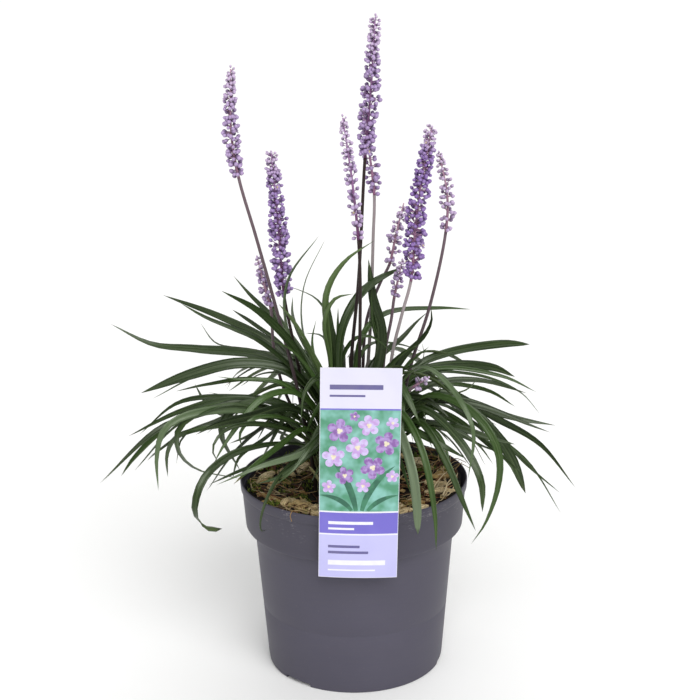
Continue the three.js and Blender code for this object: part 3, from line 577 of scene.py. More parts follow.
def potting_soil(colour):
    """Damp peat: nearly black crumbs with brown fibres, with no gloss."""
    peat = Finish("Damp peat", None, Roughness=0.95, IOR=1.4)
    place = peat.place()
    fibre = peat.node("TexNoise", {"Vector": place, "Scale": 0.35, "Detail": 5, "Roughness": 0.65})
    peat.body = peat.node("ValToRGB", {"Fac": fibre}, ramp=[
        (0.3, "#090603"), (0.5, shade_of(colour)), (0.66, "#3c2e18"), (0.8, "#7f6c42")])
    crumb = peat.node("TexVoronoi", {"Vector": place, "Scale": 0.42, "Randomness": 1}, "Distance")
    peat.lay(crumb, "#120c08", 1, (0.2, 0.9))
    grit = peat.node("TexNoise", {"Vector": place, "Scale": 0.9, "Detail": 6, "Roughness": 0.7})
    return peat.finished(grit, 1.2)


def bark():
    """Composted bark and wood shreds: tan to red-brown, fibrous along each chip, with no gloss."""
    wood = Finish("Composted bark", None, Roughness=0.85, IOR=1.45)
    tone = wood.node("Attribute", output="Fac", attribute_name="tone")
    wood.body = wood.node("ValToRGB", {"Fac": tone}, ramp=[
        (0, "#2a1d12"), (0.22, "#7a4526"), (0.4, "#a5834a"), (0.65, "#d4b67c"), (1, "#f4e2b8")])
    grain = wood.node("Attribute", output="Vector", attribute_name="grain")
    grain = wood.node("Mapping", {"Vector": grain, "Scale": (0.16, 1.6, 1.6)})
    fibre = wood.node("TexNoise", {"Vector": grain, "Scale": 1, "Detail": 5, "Roughness": 0.7})
    wood.lay(fibre, "#432a15", 0.75, (0.46, 0.62))
    dirt = wood.node("TexNoise", {"Vector": wood.place(), "Scale": 0.25, **BUSY})
    wood.lay(dirt, "#2c2112", 0.25, (0.52, 0.68))
    return wood.finished(fibre, 0.7)


def root_fibre():
    """Dry roots and straw: thin, tan to red-brown, dull."""
    straw = Finish("Dry root and straw", None, Roughness=0.8, IOR=1.45)
    tone = straw.node("Attribute", output="Fac", attribute_name="tone")
    straw.body = straw.node("ValToRGB", {"Fac": tone}, ramp=[
        (0, "#3c2113"), (0.3, "#80502e"), (0.55, "#b3945f"), (1, "#ecdab2")])
    speck = straw.node("TexNoise", {"Vector": straw.place(), "Scale": 0.8, **FINE})
    straw.lay(speck, "#2c1d12", 0.5)
    return straw.finished(speck, 0.2)


def moss():
    """Cushion moss: tiny yellow-green leaves, dull."""
    green = Finish("Cushion moss", None, Roughness=0.9, IOR=1.4)
    patch = green.node("TexNoise", {"Vector": green.place(), "Scale": 0.5, **FINE})
    green.body = green.node("ValToRGB", {"Fac": patch}, ramp=[
        (0.3, "#37451a"), (0.5, "#64762a"), (0.7, "#a2a748")])
    tips = green.node("TexNoise", {"Vector": green.place(), "Scale": 2, **FINE})
    return green.finished(tips, 0.3)


def leaf_cuticle(name, deep, fresh, pale, dry):
    """A waxy strap leaf: parallel veins and a midrib line, paler beneath and at the base."""
    wax = Finish(name, deep, IOR=1.42, Specular_IOR_Level=0.5, Specular_Tint=(0.9, 1, 0.8, 1),
                 Coat_Weight=0.2, Coat_Roughness=0.2, Coat_Tint=(0.95, 1, 0.88, 1))
    across, along, tone, under, withered = [
        wax.node("Attribute", output="Fac", attribute_name=layer) for layer in LEAF_LAYERS]
    wax.lay(tone, fresh)
    # Some leaves are painted silvery grey all over, a painted sheen: their tone goes past 1.
    wax.lay(tone, "#77816f", 0.62, (1, 2))
    leaf_place = wax.node("CombineXYZ", {"X": across, "Y": along, "Z": tone})
    # Veins run along the leaf, about 0.45 mm apart.
    veins = wax.node("Mapping", {"Vector": leaf_place, "Scale": (2.2, 0.02, 40)})
    veins = wax.node("TexNoise", {"Vector": veins, "Scale": 1, "Detail": 3, "Roughness": 0.6})
    wax.lay(veins, pale, 0.3, (0.52, 0.68))
    midrib = wax.node("Math", {0: across}, operation="ABSOLUTE")
    wax.lay(midrib, pale, 0.07, (0.75, 0.15))
    blotch = wax.node("TexNoise", {"Vector": wax.place(), "Scale": 0.03, **FINE})
    wax.lay(blotch, deep, 0.175, (0.45, 0.7))
    wax.lay(under, pale, 0.3)
    # The lowest 38 mm grow paler towards the crown.
    wax.lay(along, "#a9b58a", 0.75, (38, 8))
    wax.lay(withered, dry)
    pits = wax.node("Mapping", {"Vector": leaf_place, "Scale": (1.6, 0.5, 1)})
    pits = wax.node("TexNoise", {"Vector": pits, "Scale": 1, "Detail": 3, "Roughness": 0.7})
    surface = wax.node("Math", {0: veins, 1: pits}, operation="MULTIPLY")
    wax.roughen(surface, 0.1, 0.4, 0.22, 0.46)
    return wax.finished(surface, 0.25, 0.8)


def waxy_bud(young, full):
    """A closed flower bud: violet waxy petals, paler at the crown of the head, with painted shade darkening
    their foot.
    """
    petal = Finish("Waxy violet bud", full, Roughness=0.3, IOR=1.45)
    along, tone, age = [petal.node("Attribute", output="Fac", attribute_name=layer) for layer in BUD_LAYERS]
    petal.lay(age, young)
    petal.lay(tone, "#d8c8ee", 0.2)
    # Painted shade: each bud darkens towards its foot, where the buds crowd together.
    petal.lay(along, "#260f3a", 0.765, (0.75, 0))
    fleck = petal.node("TexNoise", {"Vector": petal.place(), "Scale": 1.1, **FINE})
    petal.lay(fleck, "#5f3d86", 0.3)
    return petal.finished(fleck, 0.15)


def flower_stalk(name, low, high, dark=0.0):
    """A flower stem: smooth, slightly waxy, streaked along its length. Up to the share dark it is all low."""
    stalk = Finish(name, low, Roughness=0.45, IOR=1.45, Specular_IOR_Level=0.3)
    along = stalk.node("Attribute", output="Fac", attribute_name="along")
    stalk.lay(along, high, 1, (dark, 1))
    streak = stalk.node("TexNoise", {"Vector": stalk.place(1.4, 1.4, 0.05), "Scale": 1, **FINE})
    stalk.lay(streak, "#24131f", 0.275)
    return stalk.finished(streak, 0.1)


def pollen():
    """Anthers with pollen: cream and powdery."""
    powder = Finish("Pollen", "#c4b07c", Roughness=0.9, IOR=1.4)
    grains = powder.node("TexNoise", {"Vector": powder.place(), "Scale": 3, **SOFT})
    powder.lay(grains, "#ece0b4")
    return powder.finished(grains, 0.05)


def printed_plastic(name, one, other, spots=0.16, low=0.4, high=0.6):
    """Ink on a polypropylene strip: two shades in soft patches, under a semi-gloss lacquer."""
    ink = Finish(name, one, Roughness=0.32, IOR=1.49, Coat_Weight=0.15, Coat_Roughness=0.2)
    soft = ink.node("TexNoise", {"Vector": ink.place(), "Scale": spots, **SOFT})
    ink.lay(soft, other, 1, (low, high))
    grain = ink.node("TexNoise", {"Vector": ink.place(), "Scale": 1, **SOFT})
    return ink.finished(grain, 0.02, 0.4)


def studio_white(colour):
    """Matt white paper, as on a photographer's table."""
    paper = Finish("Matt paper", shade_of(colour, 0.99), Roughness=0.9, IOR=1.45)
    fibre = paper.node("TexNoise", {"Vector": paper.place(), "Scale": 0.4, **FINE})
    paper.lay(fibre, shade_of(colour))
    return paper.finished()


# ------------------------------------------------------------------ settings in the panel
def colour_setting(name, description, default):
    """A colour that a user may change."""
    return FloatVectorProperty(name=name, description=description, subtype="COLOR",
                               default=linear(default)[:3], min=0, max=1)


def length_setting(name, description, millimetres):
    """A length that a user may change."""
    return FloatProperty(name=name, description=description, default=millimetres * MM, min=0.1 * MM,
                         unit="LENGTH")


def number_setting(name, description, default, least=0):
    """How many of something a user would like."""
    return IntProperty(name=name, description=description, default=default, min=least)


# ------------------------------------------------------------------ the pot
def pot_side(inset):
    """Half outline of the pot's side, from the foot up. inset moves it in, and the collar's underside up."""
    ring, dent = STACKING_RING
    body = []
    around_ring = [ring + step for step in (-1.2, -0.5, 0.5, 1.2)]
    for height in (BODY_FOOT[1], 16, 30, *around_ring, 62, 78, 94, NECK[1] - 1):
        radius = lerp(BODY_FOOT[0], NECK[0], (height - BODY_FOOT[1]) / (NECK[1] - BODY_FOOT[1]))
        body.append((radius - dent * (abs(height - ring) < 0.6), height))
    under = [(NECK[0] + 0.5, NECK[1] - 0.1), UNDERCUT, (COLLAR[0] - 0.45, COLLAR[1] - 1.15),
             (COLLAR[0] - 0.1, COLLAR[1] - 0.5)]
    body[-1:] = [(radius, height + inset) for radius, height in body[-1:] + under]
    collar = [(lerp(COLLAR[0], COLLAR_TOP[0], i / 6), lerp(COLLAR[1] + inset, COLLAR_TOP[1], i / 6))
              for i in range(7)]
    lip = [(LIP[0] - 0.25, LIP[1] - 0.5), (LIP[0], LIP[1] + 0.1), (RIM_RADIUS, POT_HEIGHT - RIM_ROUND)]
    return [(radius - inset, height) for radius, height in body + collar + lip]


def pot_profile(wall):
    """The whole outline of the pot's wall, from the middle of the underside to the middle of the floor."""
    inner_edge, outer_edge, foot_edge, depth = GROOVE
    floor = wall + depth
    rounded = [(math.cos(math.pi * i / 6), math.sin(math.pi * i / 6)) for i in range(1, 6)]
    crest = [(RIM_RADIUS + wall / 2 * (across - 1), POT_HEIGHT - RIM_ROUND * (1 - up))
             for across, up in rounded]
    return [
        (0, 0), (FLOOR_DISC, 0), (inner_edge, depth), (outer_edge, depth), (foot_edge, 0),
        (FOOT_RADIUS - FOOT_CHAMFER, 0), (FOOT_RADIUS, FOOT_CHAMFER), *pot_side(0), *crest,
        *reversed(pot_side(wall)), (FOOT_RADIUS - wall, floor), (0, floor),
    ]


def spun(bm, profile, steps):
    """Turns a half outline once round the Z axis."""
    line = [bm.verts.new((radius * MM, 0, height * MM)) for radius, height in profile]
    edges = [bm.edges.new(pair) for pair in zip(line, line[1:])]
    bmesh.ops.spin(bm, geom=line + edges, cent=(0, 0, 0), axis=(0, 0, 1), angle=math.tau, steps=steps,
                   use_merge=True)
    bmesh.ops.remove_doubles(bm, verts=bm.verts[:], dist=1e-6)


def cut_away(piece, cutter_bm):
    """Cuts the solids in a bmesh out of a piece, and leaves no modifier on it."""
    bmesh.ops.recalc_face_normals(cutter_bm, faces=cutter_bm.faces[:])
    cutter = new_object("cutter", mesh_from("cutter", cutter_bm))
    cut = piece.modifiers.new("cut", "BOOLEAN")
    cut.operation = "DIFFERENCE"
    cut.solver = "EXACT"
    cut.object = cutter
    graph = bpy.context.evaluated_depsgraph_get()
    result = bpy.data.meshes.new_from_object(piece.evaluated_get(graph))
    piece.modifiers.clear()
    spent = (piece.data, cutter.data)
    piece.data = result
    bpy.data.objects.remove(cutter)
    for mesh in spent:
        bpy.data.meshes.remove(mesh)


class PotSettings(bpy.types.PropertyGroup):
    """Wall and colour of the nursery pot."""
    wall: length_setting("Wall", "Thickness of the pot's wall", POT_WALL)
    steps: number_setting("Steps", "Faces round the pot", 144, 36)
    colour: colour_setting("Colour", "Colour of the plastic", "#4f4d5b")


class LIRIOPE_OT_pot(bpy.types.Operator):
    """Makes the nursery pot, with its collar, rolled rim, foot notches and drain holes"""
    bl_idname = "liriope.pot"
    bl_label = "Nursery pot"

    def execute(self, context):
        settings = context.scene.liriope_pot
        wall = settings.wall / MM
        bm = bmesh.new()
        spun(bm, pot_profile(wall), settings.steps)
        pot = finished_piece("nursery_pot", bm, [pot_plastic(settings.colour)], ["pot"])
        cutters = bmesh.new()
        for angle in NOTCH["angles"]:
            place = rotation(math.radians(angle), "Z") @ Matrix.Translation((FOOT_RADIUS * MM, 0, 0))
            size = Matrix.Diagonal((NOTCH["depth"] * MM, NOTCH["width"] * MM, 2 * NOTCH["height"] * MM, 1))
            block = bmesh.ops.create_cube(cutters, size=1, matrix=place @ size)["verts"]
            edges = dict.fromkeys(edge for vertex in block for edge in vertex.link_edges)  # each edge once
            corners = [edge for edge in edges if abs((edge.verts[0].co - edge.verts[1].co).z) < 1e-6]
            bmesh.ops.bevel(cutters, geom=corners, offset=NOTCH["corner"] * MM, offset_type="OFFSET",
                            segments=3, profile=0.5, affect="EDGES", material=-1)
        for i in range(DRAIN["count"]):
            x, y = around((i + 0.5) * 360 / DRAIN["count"], DRAIN["circle"])
            bmesh.ops.create_cone(cutters, cap_ends=True, segments=24, radius1=DRAIN["radius"] * MM,
                                  radius2=DRAIN["radius"] * MM, depth=14 * MM,
                                  matrix=Matrix.Translation((x * MM, y * MM, 4 * MM)))
        cut_away(pot, cutters)
        pot.data.set_sharp_from_angle(angle=math.radians(32))
        return {"FINISHED"}


# ------------------------------------------------------------------ soil and mulch
def soil_top(x, y):
    """Height of the soil's surface as the solid has it, with mulch heaped towards the wall, most on the
    right."""
    mound = SOIL_MOUND * math.exp(-(x * x + y * y) / 2400)
    heap = MULCH_HEAP * smoothstep(math.hypot(x, y), 44, 70) * (1 + 0.5 * smoothstep(x + 0.5 * y, 30, 78))
    return SOIL_HEIGHT + mound + heap + 1.1 * math.sin(x / 9 + 1) * math.cos(y / 11)


def soil_profile():
    """Half outline of the soil, inside the pot's wall, with its top in fine rings."""
    floor = GROOVE[3] + POT_WALL + FIT
    inset = POT_WALL + FIT
    share = (SOIL_HEIGHT - COLLAR[1]) / (COLLAR_TOP[1] - COLLAR[1])
    edge = lerp(COLLAR[0], COLLAR_TOP[0], share) - inset
    return [
        (0, floor), (BODY_FOOT[0] - inset - 1.5, floor), (BODY_FOOT[0] - inset, floor + 2),
        *[(radius - inset, height + inset) for radius, height in (NECK, UNDERCUT, COLLAR)],
        *[(edge * (1 - i / SOIL_RINGS), SOIL_HEIGHT - 2 * (i == 0)) for i in range(SOIL_RINGS + 1)],
    ]


def crumbled(x, y):
    """How far a crumb of soil stands up there."""
    coarse = noise.fractal(Vector((x / 7, y / 7, 3)), 0.9, 2.1, 3)
    fine = abs(noise.noise(Vector((x / 1.7, y / 1.7, 9))))
    return 1.5 * coarse + 1.3 * fine


def wood_shred(bm, layers, size, place, draw, tone):
    """One shred of bark: a rough block with worn edges, thinner towards its broken ends."""
    seed = Vector((draw(), draw(), draw())) * 50
    length, width, thick = size

    def point(i, j):
        share = SHRED_SHARES[j]
        ends = abs(2 * share - 1)
        inside = 0 if ends == 1 else 0.5
        angle = math.tau * (i + 0.5) / SHRED_SIDES
        squared = [math.copysign(abs(value) ** 0.6, value) * inside
                   for value in (math.cos(angle), math.sin(angle))]
        local = Vector((length * (share - 0.5), width * squared[0] * (1 - 0.45 * ends ** 3),
                        thick * squared[1] * (1 - 0.5 * ends ** 2)))
        local += noise.noise_vector(local / 3.2 + seed) * min(1.6, width / 4)
        return place @ local, (local + seed, tone)

    wrapped_grid(bm, SHRED_SIDES, len(SHRED_SHARES) - 1, point, layers)


class MulchSettings(bpy.types.PropertyGroup):
    """What lies on the soil."""
    shreds: number_setting("Shreds", "Small shreds of bark between the large ones", 330)
    roots: number_setting("Roots", "Dry roots and straws on the soil", 260)
    crumbs: number_setting("Crumbs", "Loose crumbs of soil", 260)
    soil_colour: colour_setting("Soil", "Main colour of the soil", "#17110a")


class LIRIOPE_OT_mulch(bpy.types.Operator):
    """Makes the soil, its crumbs, bark shreds, dry roots and moss"""
    bl_idname = "liriope.mulch"
    bl_label = "Soil and mulch"

    def execute(self, context):
        settings = context.scene.liriope_mulch
        draw = random_source(SEEDS["mulch"])
        noise.seed_set(SEEDS["mulch"])  # else noise_vector, and with it the shreds, would differ every run
        self.make_soil(settings, draw)
        self.make_shreds(settings, draw)
        self.make_roots(settings, draw)
        self.make_moss(draw)
        return {"FINISHED"}

    def spot(self, draw, nearest=26, farthest=MULCH_REACH):
        """A place on the soil clear of the crowns: its x, y and height."""
        x, y = around(360 * draw(), lerp(nearest, farthest, draw() ** 0.6))
        return x, y, soil_top(x, y) + crumbled(x, y)

    def make_soil(self, settings, draw):
        bm = bmesh.new()
        spun(bm, soil_profile(), 200)
        for vertex in bm.verts:
            x, y, z = vertex.co / MM
            if z > SOIL_HEIGHT - 0.5:
                vertex.co.z = (soil_top(x, y) + crumbled(x, y)) * MM
        for _ in range(settings.crumbs):
            x, y, z = self.spot(draw)
            size = lerp(0.8, 2.6, draw() ** 2)
            made = bmesh.ops.create_icosphere(bm, subdivisions=1, radius=size * MM)["verts"]
            for vertex in made:
                vertex.co *= 1 + 0.35 * noise.noise(vertex.co / MM * 0.9 + Vector((x, y, z)))
            bmesh.ops.translate(bm, verts=made, vec=Vector((x, y, z + size * 0.2)) * MM)
        finished_piece("potting_soil", bm, [potting_soil(settings.soil_colour)], ["soil"])

    def make_shreds(self, settings, draw):
        bm = bmesh.new()
        layers = (bm.verts.layers.float_vector.new("grain"), bm.verts.layers.float.new("tone"))
        large = random_source(SEEDS["chips"])
        for i in range(CHIPS["count"]):
            bearing = i * GOLDEN_ANGLE + 20 * large()
            x, y = around(bearing, lerp(CHIPS["nearest"], CHIPS["farthest"], math.sqrt(large())))
            size = (large(*CHIPS["length"]), large(*CHIPS["width"]), CHIPS["thickness"])
            turn = rotation(CHIP_TILT[0] * (large() - 0.5), "Y")
            turn = rotation(CHIP_TILT[1] * (large() - 0.5), "X") @ turn
            turn = rotation(math.pi * large(), "Z") @ turn
            place = Matrix.Translation((x, y, soil_top(x, y) + 1.2)) @ turn
            wood_shred(bm, layers, size, place, draw, draw(0.45, 1))
        for x, y, heading, length, width in FRONT_CHIPS:
            place = Matrix.Translation((x, y, soil_top(x, y) + 3.4)) @ rotation(math.radians(heading), "Z")
            place = place @ rotation(0.5 * (draw() - 0.5), "Y")
            wood_shred(bm, layers, (length, width, 0.75 * width), place, draw, draw(0.62, 0.95))
        for _ in range(settings.shreds):
            length = lerp(3, 14, draw() ** 2)
            x, y, z = self.spot(draw, 30, 79 - length / 2)
            size = (length, lerp(0.9, 4, draw() ** 1.4), draw(0.6, 2))
            turn = rotation(math.tau * draw(), "Z") @ rotation(0.7 * (draw() - 0.5), "Y")
            place = Matrix.Translation((x, y, z + draw(0.4, 2.6))) @ turn
            # Painted light: small shreds are painted lighter towards the front, where the leaves shade the
            # soil less.
            wood_shred(bm, layers, size, place, draw, draw() ** 1.6 * lerp(0.6, 1.2, smoothstep(-y, 10, 60)))
        finished_piece("bark_shreds", bm, [bark()], sharp=50)

    def make_roots(self, settings, draw):
        bm = bmesh.new()
        layers = new_layers(bm, "along", "tone")
        for i in range(settings.roots):
            straw = i < STRAWS
            x, y, _ = self.spot(draw, 28, 76)
            heading, turning, lie = 360 * draw(), draw(-28, 28), draw(1, 5)
            if straw:
                x, y, heading, turning = draw(55, 67), draw(-38, -28), draw(58, 82), 0
            points = []
            for _ in range(5):
                reach = math.hypot(x, y)
                if reach > MULCH_REACH:
                    x, y = x * MULCH_REACH / reach, y * MULCH_REACH / reach
                points.append((x, y, soil_top(x, y) + max(0, crumbled(x, y)) + lie))
                heading += turning + draw(-9, 9)
                lie = min(6, max(0.5, lie + draw(-1.6, 1.6)))
                dx, dy = around(heading, draw(3, 9))
                x, y = x + dx, y + dy
            thick, tone = lerp(0.25, 0.6, draw() ** 2) + 0.25 * straw, draw()
            tube(bm, Way(points, 40), lambda done: thick * (1 - 0.6 * done), 5, 14, layers=layers,
                 values=(lerp(0.8, 1, tone) if straw else tone,))
        over_rim = [FALLEN_ROOT]
        for _ in range(RIM_ROOTS):
            bearing, reach = draw(4, 36), draw(81, 89)
            steps = ((draw(-16, 16), 0.86, -2), (draw(-9, 9), 0.93, 1 + 4 * draw()), (0, 1, 3 + 2 * draw()))
            over_rim.append([(*around(bearing + turn, share * reach), 143 + up) for turn, share, up in steps])
        for points in over_rim:
            tube(bm, Way(points, 60), lambda done: 0.4 - 0.15 * done, 6, 30, layers=layers,
                 values=(0.85 * draw() ** 0.5,))
        finished_piece("dry_roots", bm, [root_fibre()])

    def make_moss(self, draw):
        bm = bmesh.new()
        for i in range(MOSS_TUFTS):
            x, y, _ = self.spot(draw, 34, 76)
            if i % 2:
                x = -abs(x)  # more of it on the left
            for _ in range(MOSS_LEAVES):
                dx, dy = around(360 * draw(), 5.5 * draw())
                lean = rotation(1.5 * (draw() - 0.5), "X") @ rotation(1.5 * (draw() - 0.5), "Y")
                place = Matrix.Translation(Vector((x + dx, y + dy, soil_top(x + dx, y + dy) + 2)) * MM)
                bmesh.ops.create_cone(bm, cap_ends=True, segments=5, radius1=0.5 * MM, radius2=0.05 * MM,
                                      depth=draw(2.4, 5.4) * MM, matrix=place @ lean)
        finished_piece("moss_cushions", bm, [moss()])


# ------------------------------------------------------------------ the label
def label_point(u, up, depth):
    """A point of the label: u from its middle line, up from its foot, depth behind its middle surface."""
    flatness = smoothstep(up, LABEL["bowed_length"], 2.5 * LABEL["bowed_length"])
    bow = max(1e-5, (1 - flatness) / LABEL["bow_radius"])
    middle = LABEL["foot"].lerp(LABEL["head"], up / LABEL["length"])
    back = (1 - math.cos(bow * u)) / bow
    return Vector((middle.x + math.sin(bow * u) / bow, middle.y + back + depth, middle.z - LABEL["tilt"] * u))


def printed_shape(bm, outline, ink, middle=None):
    """A printed shape on the label's front, slightly raised: an outline of (u, up) with its faces round the
    middle, or else from one side across to the other."""
    raised = PRINT_DEPTH * {FROND: 0.5, HEART: 1.5}.get(ink, 1)
    depth = -LABEL["thickness"] / 2 - raised
    ring = [bm.verts.new(label_point(u, up, depth) * MM) for u, up in outline]
    if middle:
        centre = bm.verts.new(label_point(*middle, depth) * MM)
        faces = [bm.faces.new((a, b, centre)) for a, b in zip(ring, ring[1:] + ring[:1])]
    else:
        across = list(zip(ring[:len(ring) // 2], reversed(ring)))
        faces = [bm.faces.new((a, c, d, b)) for (a, b), (c, d) in zip(across, across[1:])]
    grown = bmesh.ops.extrude_face_region(bm, geom=faces)
    lowered = [item for item in grown["geom"] if isinstance(item, bmesh.types.BMVert)]
    bmesh.ops.translate(bm, verts=lowered, vec=(0, (raised + 0.05) * MM, 0))
    set_material(faces_of(ring + lowered), ink)


def bar(u, up, width, height):
    """Outline of a plain bar, its sides cut short enough to follow the label's bow."""
    steps = max(1, round(width / 5))
    lower = [(u + width * i / steps, up) for i in range(steps + 1)]
    return lower + [(point, up + height) for point, _ in reversed(lower)]


def blossom(u, up, radius, petals, turn):
    """Outline of a simple round-petalled blossom."""
    points = []
    for i in range(OUTLINE_POINTS * petals):
        angle = math.tau * i / (OUTLINE_POINTS * petals)
        reach = radius * (0.5 + 0.5 * abs(math.cos(petals * angle / 2)) ** 0.6)
        points.append((u + reach * math.cos(angle + turn), up + reach * math.sin(angle + turn)))
    return points


def frond(u, up, length, width, lean, bend):
    """Outline of one arching leaf blade."""
    left, right = [], []
    for i in range(OUTLINE_POINTS + 1):
        share = i / OUTLINE_POINTS
        angle = math.radians(90 - lean - bend * share)
        middle = (u + length * share * math.cos(angle), up + length * share * math.sin(angle))
        half = width / 2 * math.sin(math.pi * min(1, 0.18 + 0.82 * share)) ** 0.8
        left.append((middle[0] - half * math.sin(angle), middle[1] + half * math.cos(angle)))
        right.append((middle[0] + half * math.sin(angle), middle[1] - half * math.cos(angle)))
    return left[::-1] + right


class LabelSettings(bpy.types.PropertyGroup):
    """Strip of the plant label."""
    thickness: length_setting("Thickness", "Thickness of the strip", LABEL["thickness"])


class LIRIOPE_OT_label(bpy.types.Operator):
    """Makes the plastic label and its stake, with a plain design of bands, bars, blades and blossoms"""
    bl_idname = "liriope.label"
    bl_label = "Plant label"

    def execute(self, context):
        bm = bmesh.new()
        half = LABEL["width"] / 2
        columns = [-half, *[lerp(PRINT_EDGE - half, half - PRINT_EDGE, i / 14) for i in range(15)], half]
        edges = [up for up, _ in BANDS]
        rows = sorted({*edges, PRINT_EDGE, LABEL["length"] - PRINT_EDGE,
                       *[up for up in range(4, 154, 5) if min(abs(up - edge) for edge in edges) > 1.5]})
        places = {vertex: (columns[i], rows[j]) for vertex, i, j in grid(bm, len(columns) - 1, len(rows) - 1)}
        for vertex, (u, up) in places.items():
            vertex.co = label_point(u, up, -LABEL["thickness"] / 2) * MM
        for face in bm.faces:
            u, up = [sum(places[vertex][axis] for vertex in face.verts) / 4 for axis in (0, 1)]
            inside = abs(u) < half - PRINT_EDGE and PRINT_EDGE < up < LABEL["length"] - PRINT_EDGE
            name = [name for edge, name in BANDS if edge <= up][-1]
            face.material_index = BAND_INK[name] if inside else PAPER
        front = bm.faces[:]
        grown = bmesh.ops.extrude_face_region(bm, geom=front)
        back = [item for item in grown["geom"] if isinstance(item, bmesh.types.BMVert)]
        bmesh.ops.translate(bm, verts=back, vec=(0, context.scene.liriope_label.thickness, 0))
        bm.faces.ensure_lookup_table()
        front = set(front)
        set_material([face for face in bm.faces if face not in front], PAPER)
        self.print_design(bm)
        self.add_stake(bm)
        inks = [printed_plastic(*ink) for ink in INKS]
        finished_piece("plant_label", bm, inks, ["label"], sharp=40)
        return {"FINISHED"}

    def print_design(self, bm):
        for *place, ink in BARS:
            printed_shape(bm, bar(*place), ink)
        for place in FRONDS:
            printed_shape(bm, frond(*place), FROND)
        for u, up, radius, turn, ink in BLOSSOMS:
            printed_shape(bm, blossom(u, up, radius, PETALS, turn), ink, (u, up))
            printed_shape(bm, blossom(u, up, radius * 0.24, HEART_PETALS, turn), HEART, (u, up))

    def add_stake(self, bm):
        way = Way([(STAKE["x"], y, z) for y, z in STAKE_WAY], 60)
        half, thick = STAKE["width"] / 2, STAKE["thickness"] / 2
        section = [(-half, -thick), (half, -thick), (half, thick), (-half, thick)]

        def place(i, j):
            done = j / 16
            width, depth = section[i]
            narrow = 0 if j in (0, 16) else 1 - 0.6 * smoothstep(done, 0.8, 1)
            return way.at(done) + Vector((width * narrow, depth * min(1, narrow * 2), 0)), ()

        before = set(bm.faces)
        wrapped_grid(bm, 4, 16, place)
        set_material([face for face in bm.faces if face not in before], PAPER)


# ------------------------------------------------------------------ leaves
def filling_leaves():
    """The filling leaves, drawn in the same order as the solids draw them."""
    draw = random_source(SEEDS["filling leaves"])
    rows = []
    for crown, count, shortest, longest in FILLERS:
        for i in range(count):
            bearing = CROWNS[crown][0] + FILLER_SPREAD * (2 * ((i + draw()) / count) - 1)
            reach = draw(shortest, longest)
            crest = SOIL_HEIGHT + draw(62, 112)
            tip = crest - reach * draw(0.05, 0.62)
            width, roll, bow = draw(5.5, 8), draw(-50, 50), draw(-16, 16)
            rows.append((crown, width, roll, bearing, bow, reach * 0.4, crest - 4, reach * 0.72,
                         (crest + tip) / 2 + 4, reach, tip))
    return rows


def fine_leaves(rows):
    """Finer leaves between the others: each follows one of them, to one side of it, shorter and lower."""
    draw = random_source(SEEDS["fine leaves"])
    fine = []
    for crown, _, roll, bearing, bow, *way in rows:
        aside, share, lower = draw(-24, 24), draw(0.5, 0.93), draw(0.78, 1.0)
        droop, width, rolled, chance = draw(0, 32), draw(2.8, 4.8), draw(-40, 40), draw()
        path = []
        for reach, height in zip(way[::2], way[1::2]):
            hanging = droop * (reach / way[-2]) ** 2
            path += [reach * share, SOIL_HEIGHT + (height - SOIL_HEIGHT) * lower - hanging]
        candidate = (crown, width, roll + rolled, bearing + aside, bow + draw(-30, 30), *path)
        if chance < FINE_SHARE and hangs_free(leaf_points(candidate, draw(-3, 3), 0, 0)):
            fine.append(candidate)
    return fine


def hangs_free(points):
    """Whether a leaf stays clear of the soil, the pot's rim and the label, and inside the solids' box."""
    left, right, front, top = LABEL_SPACE
    for i in range(8, 25):
        x, y, z = curve_point(points, i / 24)
        reach = math.hypot(x, y)
        too_low = any(near < reach < far and z < lowest for near, far, lowest in KEPT_ABOVE)
        if too_low or (left < x < right and y < front and z < top) or y > REARMOST_LEAF:
            return False
    return True


def with_seats(rows):
    """Where each leaf grows in its crown: the flattest outermost, so that they lie one on another."""
    seated = []
    for row in rows:
        slopes = [(other[6] - SOIL_HEIGHT) / other[5] for other in rows if other[0] == row[0]]
        flatter = sum(slope < (row[6] - SOIL_HEIGHT) / row[5] for slope in slopes)
        edge = CROWN_RADIUS - 1.2
        seated.append((row, lerp(edge, -edge, flatter / max(1, len(slopes) - 1))))
    return seated


def leaf_points(row, seat, turn, lift):
    """The points of a leaf's way from inside its crown to its tip."""
    crown, _, _, bearing, bow, *way = row
    x, y = around(*CROWNS[crown])
    last = len(way) // 2 - 1

    def at(degrees, reach, height):
        dx, dy = around(degrees, reach)
        return x + dx, y + dy, height

    neck = SOIL_HEIGHT + 18
    points = [
        at(bearing + turn, seat, SOIL_HEIGHT + 4), at(bearing + turn, seat + 0.4, neck),
        at(bearing + turn, lerp(seat, way[0], 0.3), lerp(neck, way[1], 0.6)),
    ]
    for i in range(last + 1):
        raised = lift * min(1, way[2 * i] / way[2 * last])
        points.append(at(bearing + turn + bow * i / last, way[2 * i], way[2 * i + 1] + raised))
    return [Vector(point) for point in points]


def rising_way(crown, bearing, reaches, heights, samples):
    """A way up from a crown towards a bearing, through distances from it and heights above the soil."""
    x, y = around(*CROWNS[crown])
    points = []
    for reach, up in zip(reaches, heights):
        dx, dy = around(bearing, reach)
        points.append((x + dx, y + dy, SOIL_HEIGHT + up))
    return Way(points, samples)


def found_bend(row, seat, surface):
    """How the solid's leaf was turned and lifted to be clear of its neighbours, or None if it has none."""
    best = None
    for turn in TURNS:
        for lift in LIFTS:
            points = leaf_points(row, seat, turn, lift)
            gaps = [surface.find_nearest(curve_point(points, place) * MM)[3] / MM for place in LEAF_SAMPLES]
            if max(gaps) < LEAF_MATCH and (best is None or sum(gaps) < best[0]):
                best = (sum(gaps), turn, points)
    return best and best[1:]


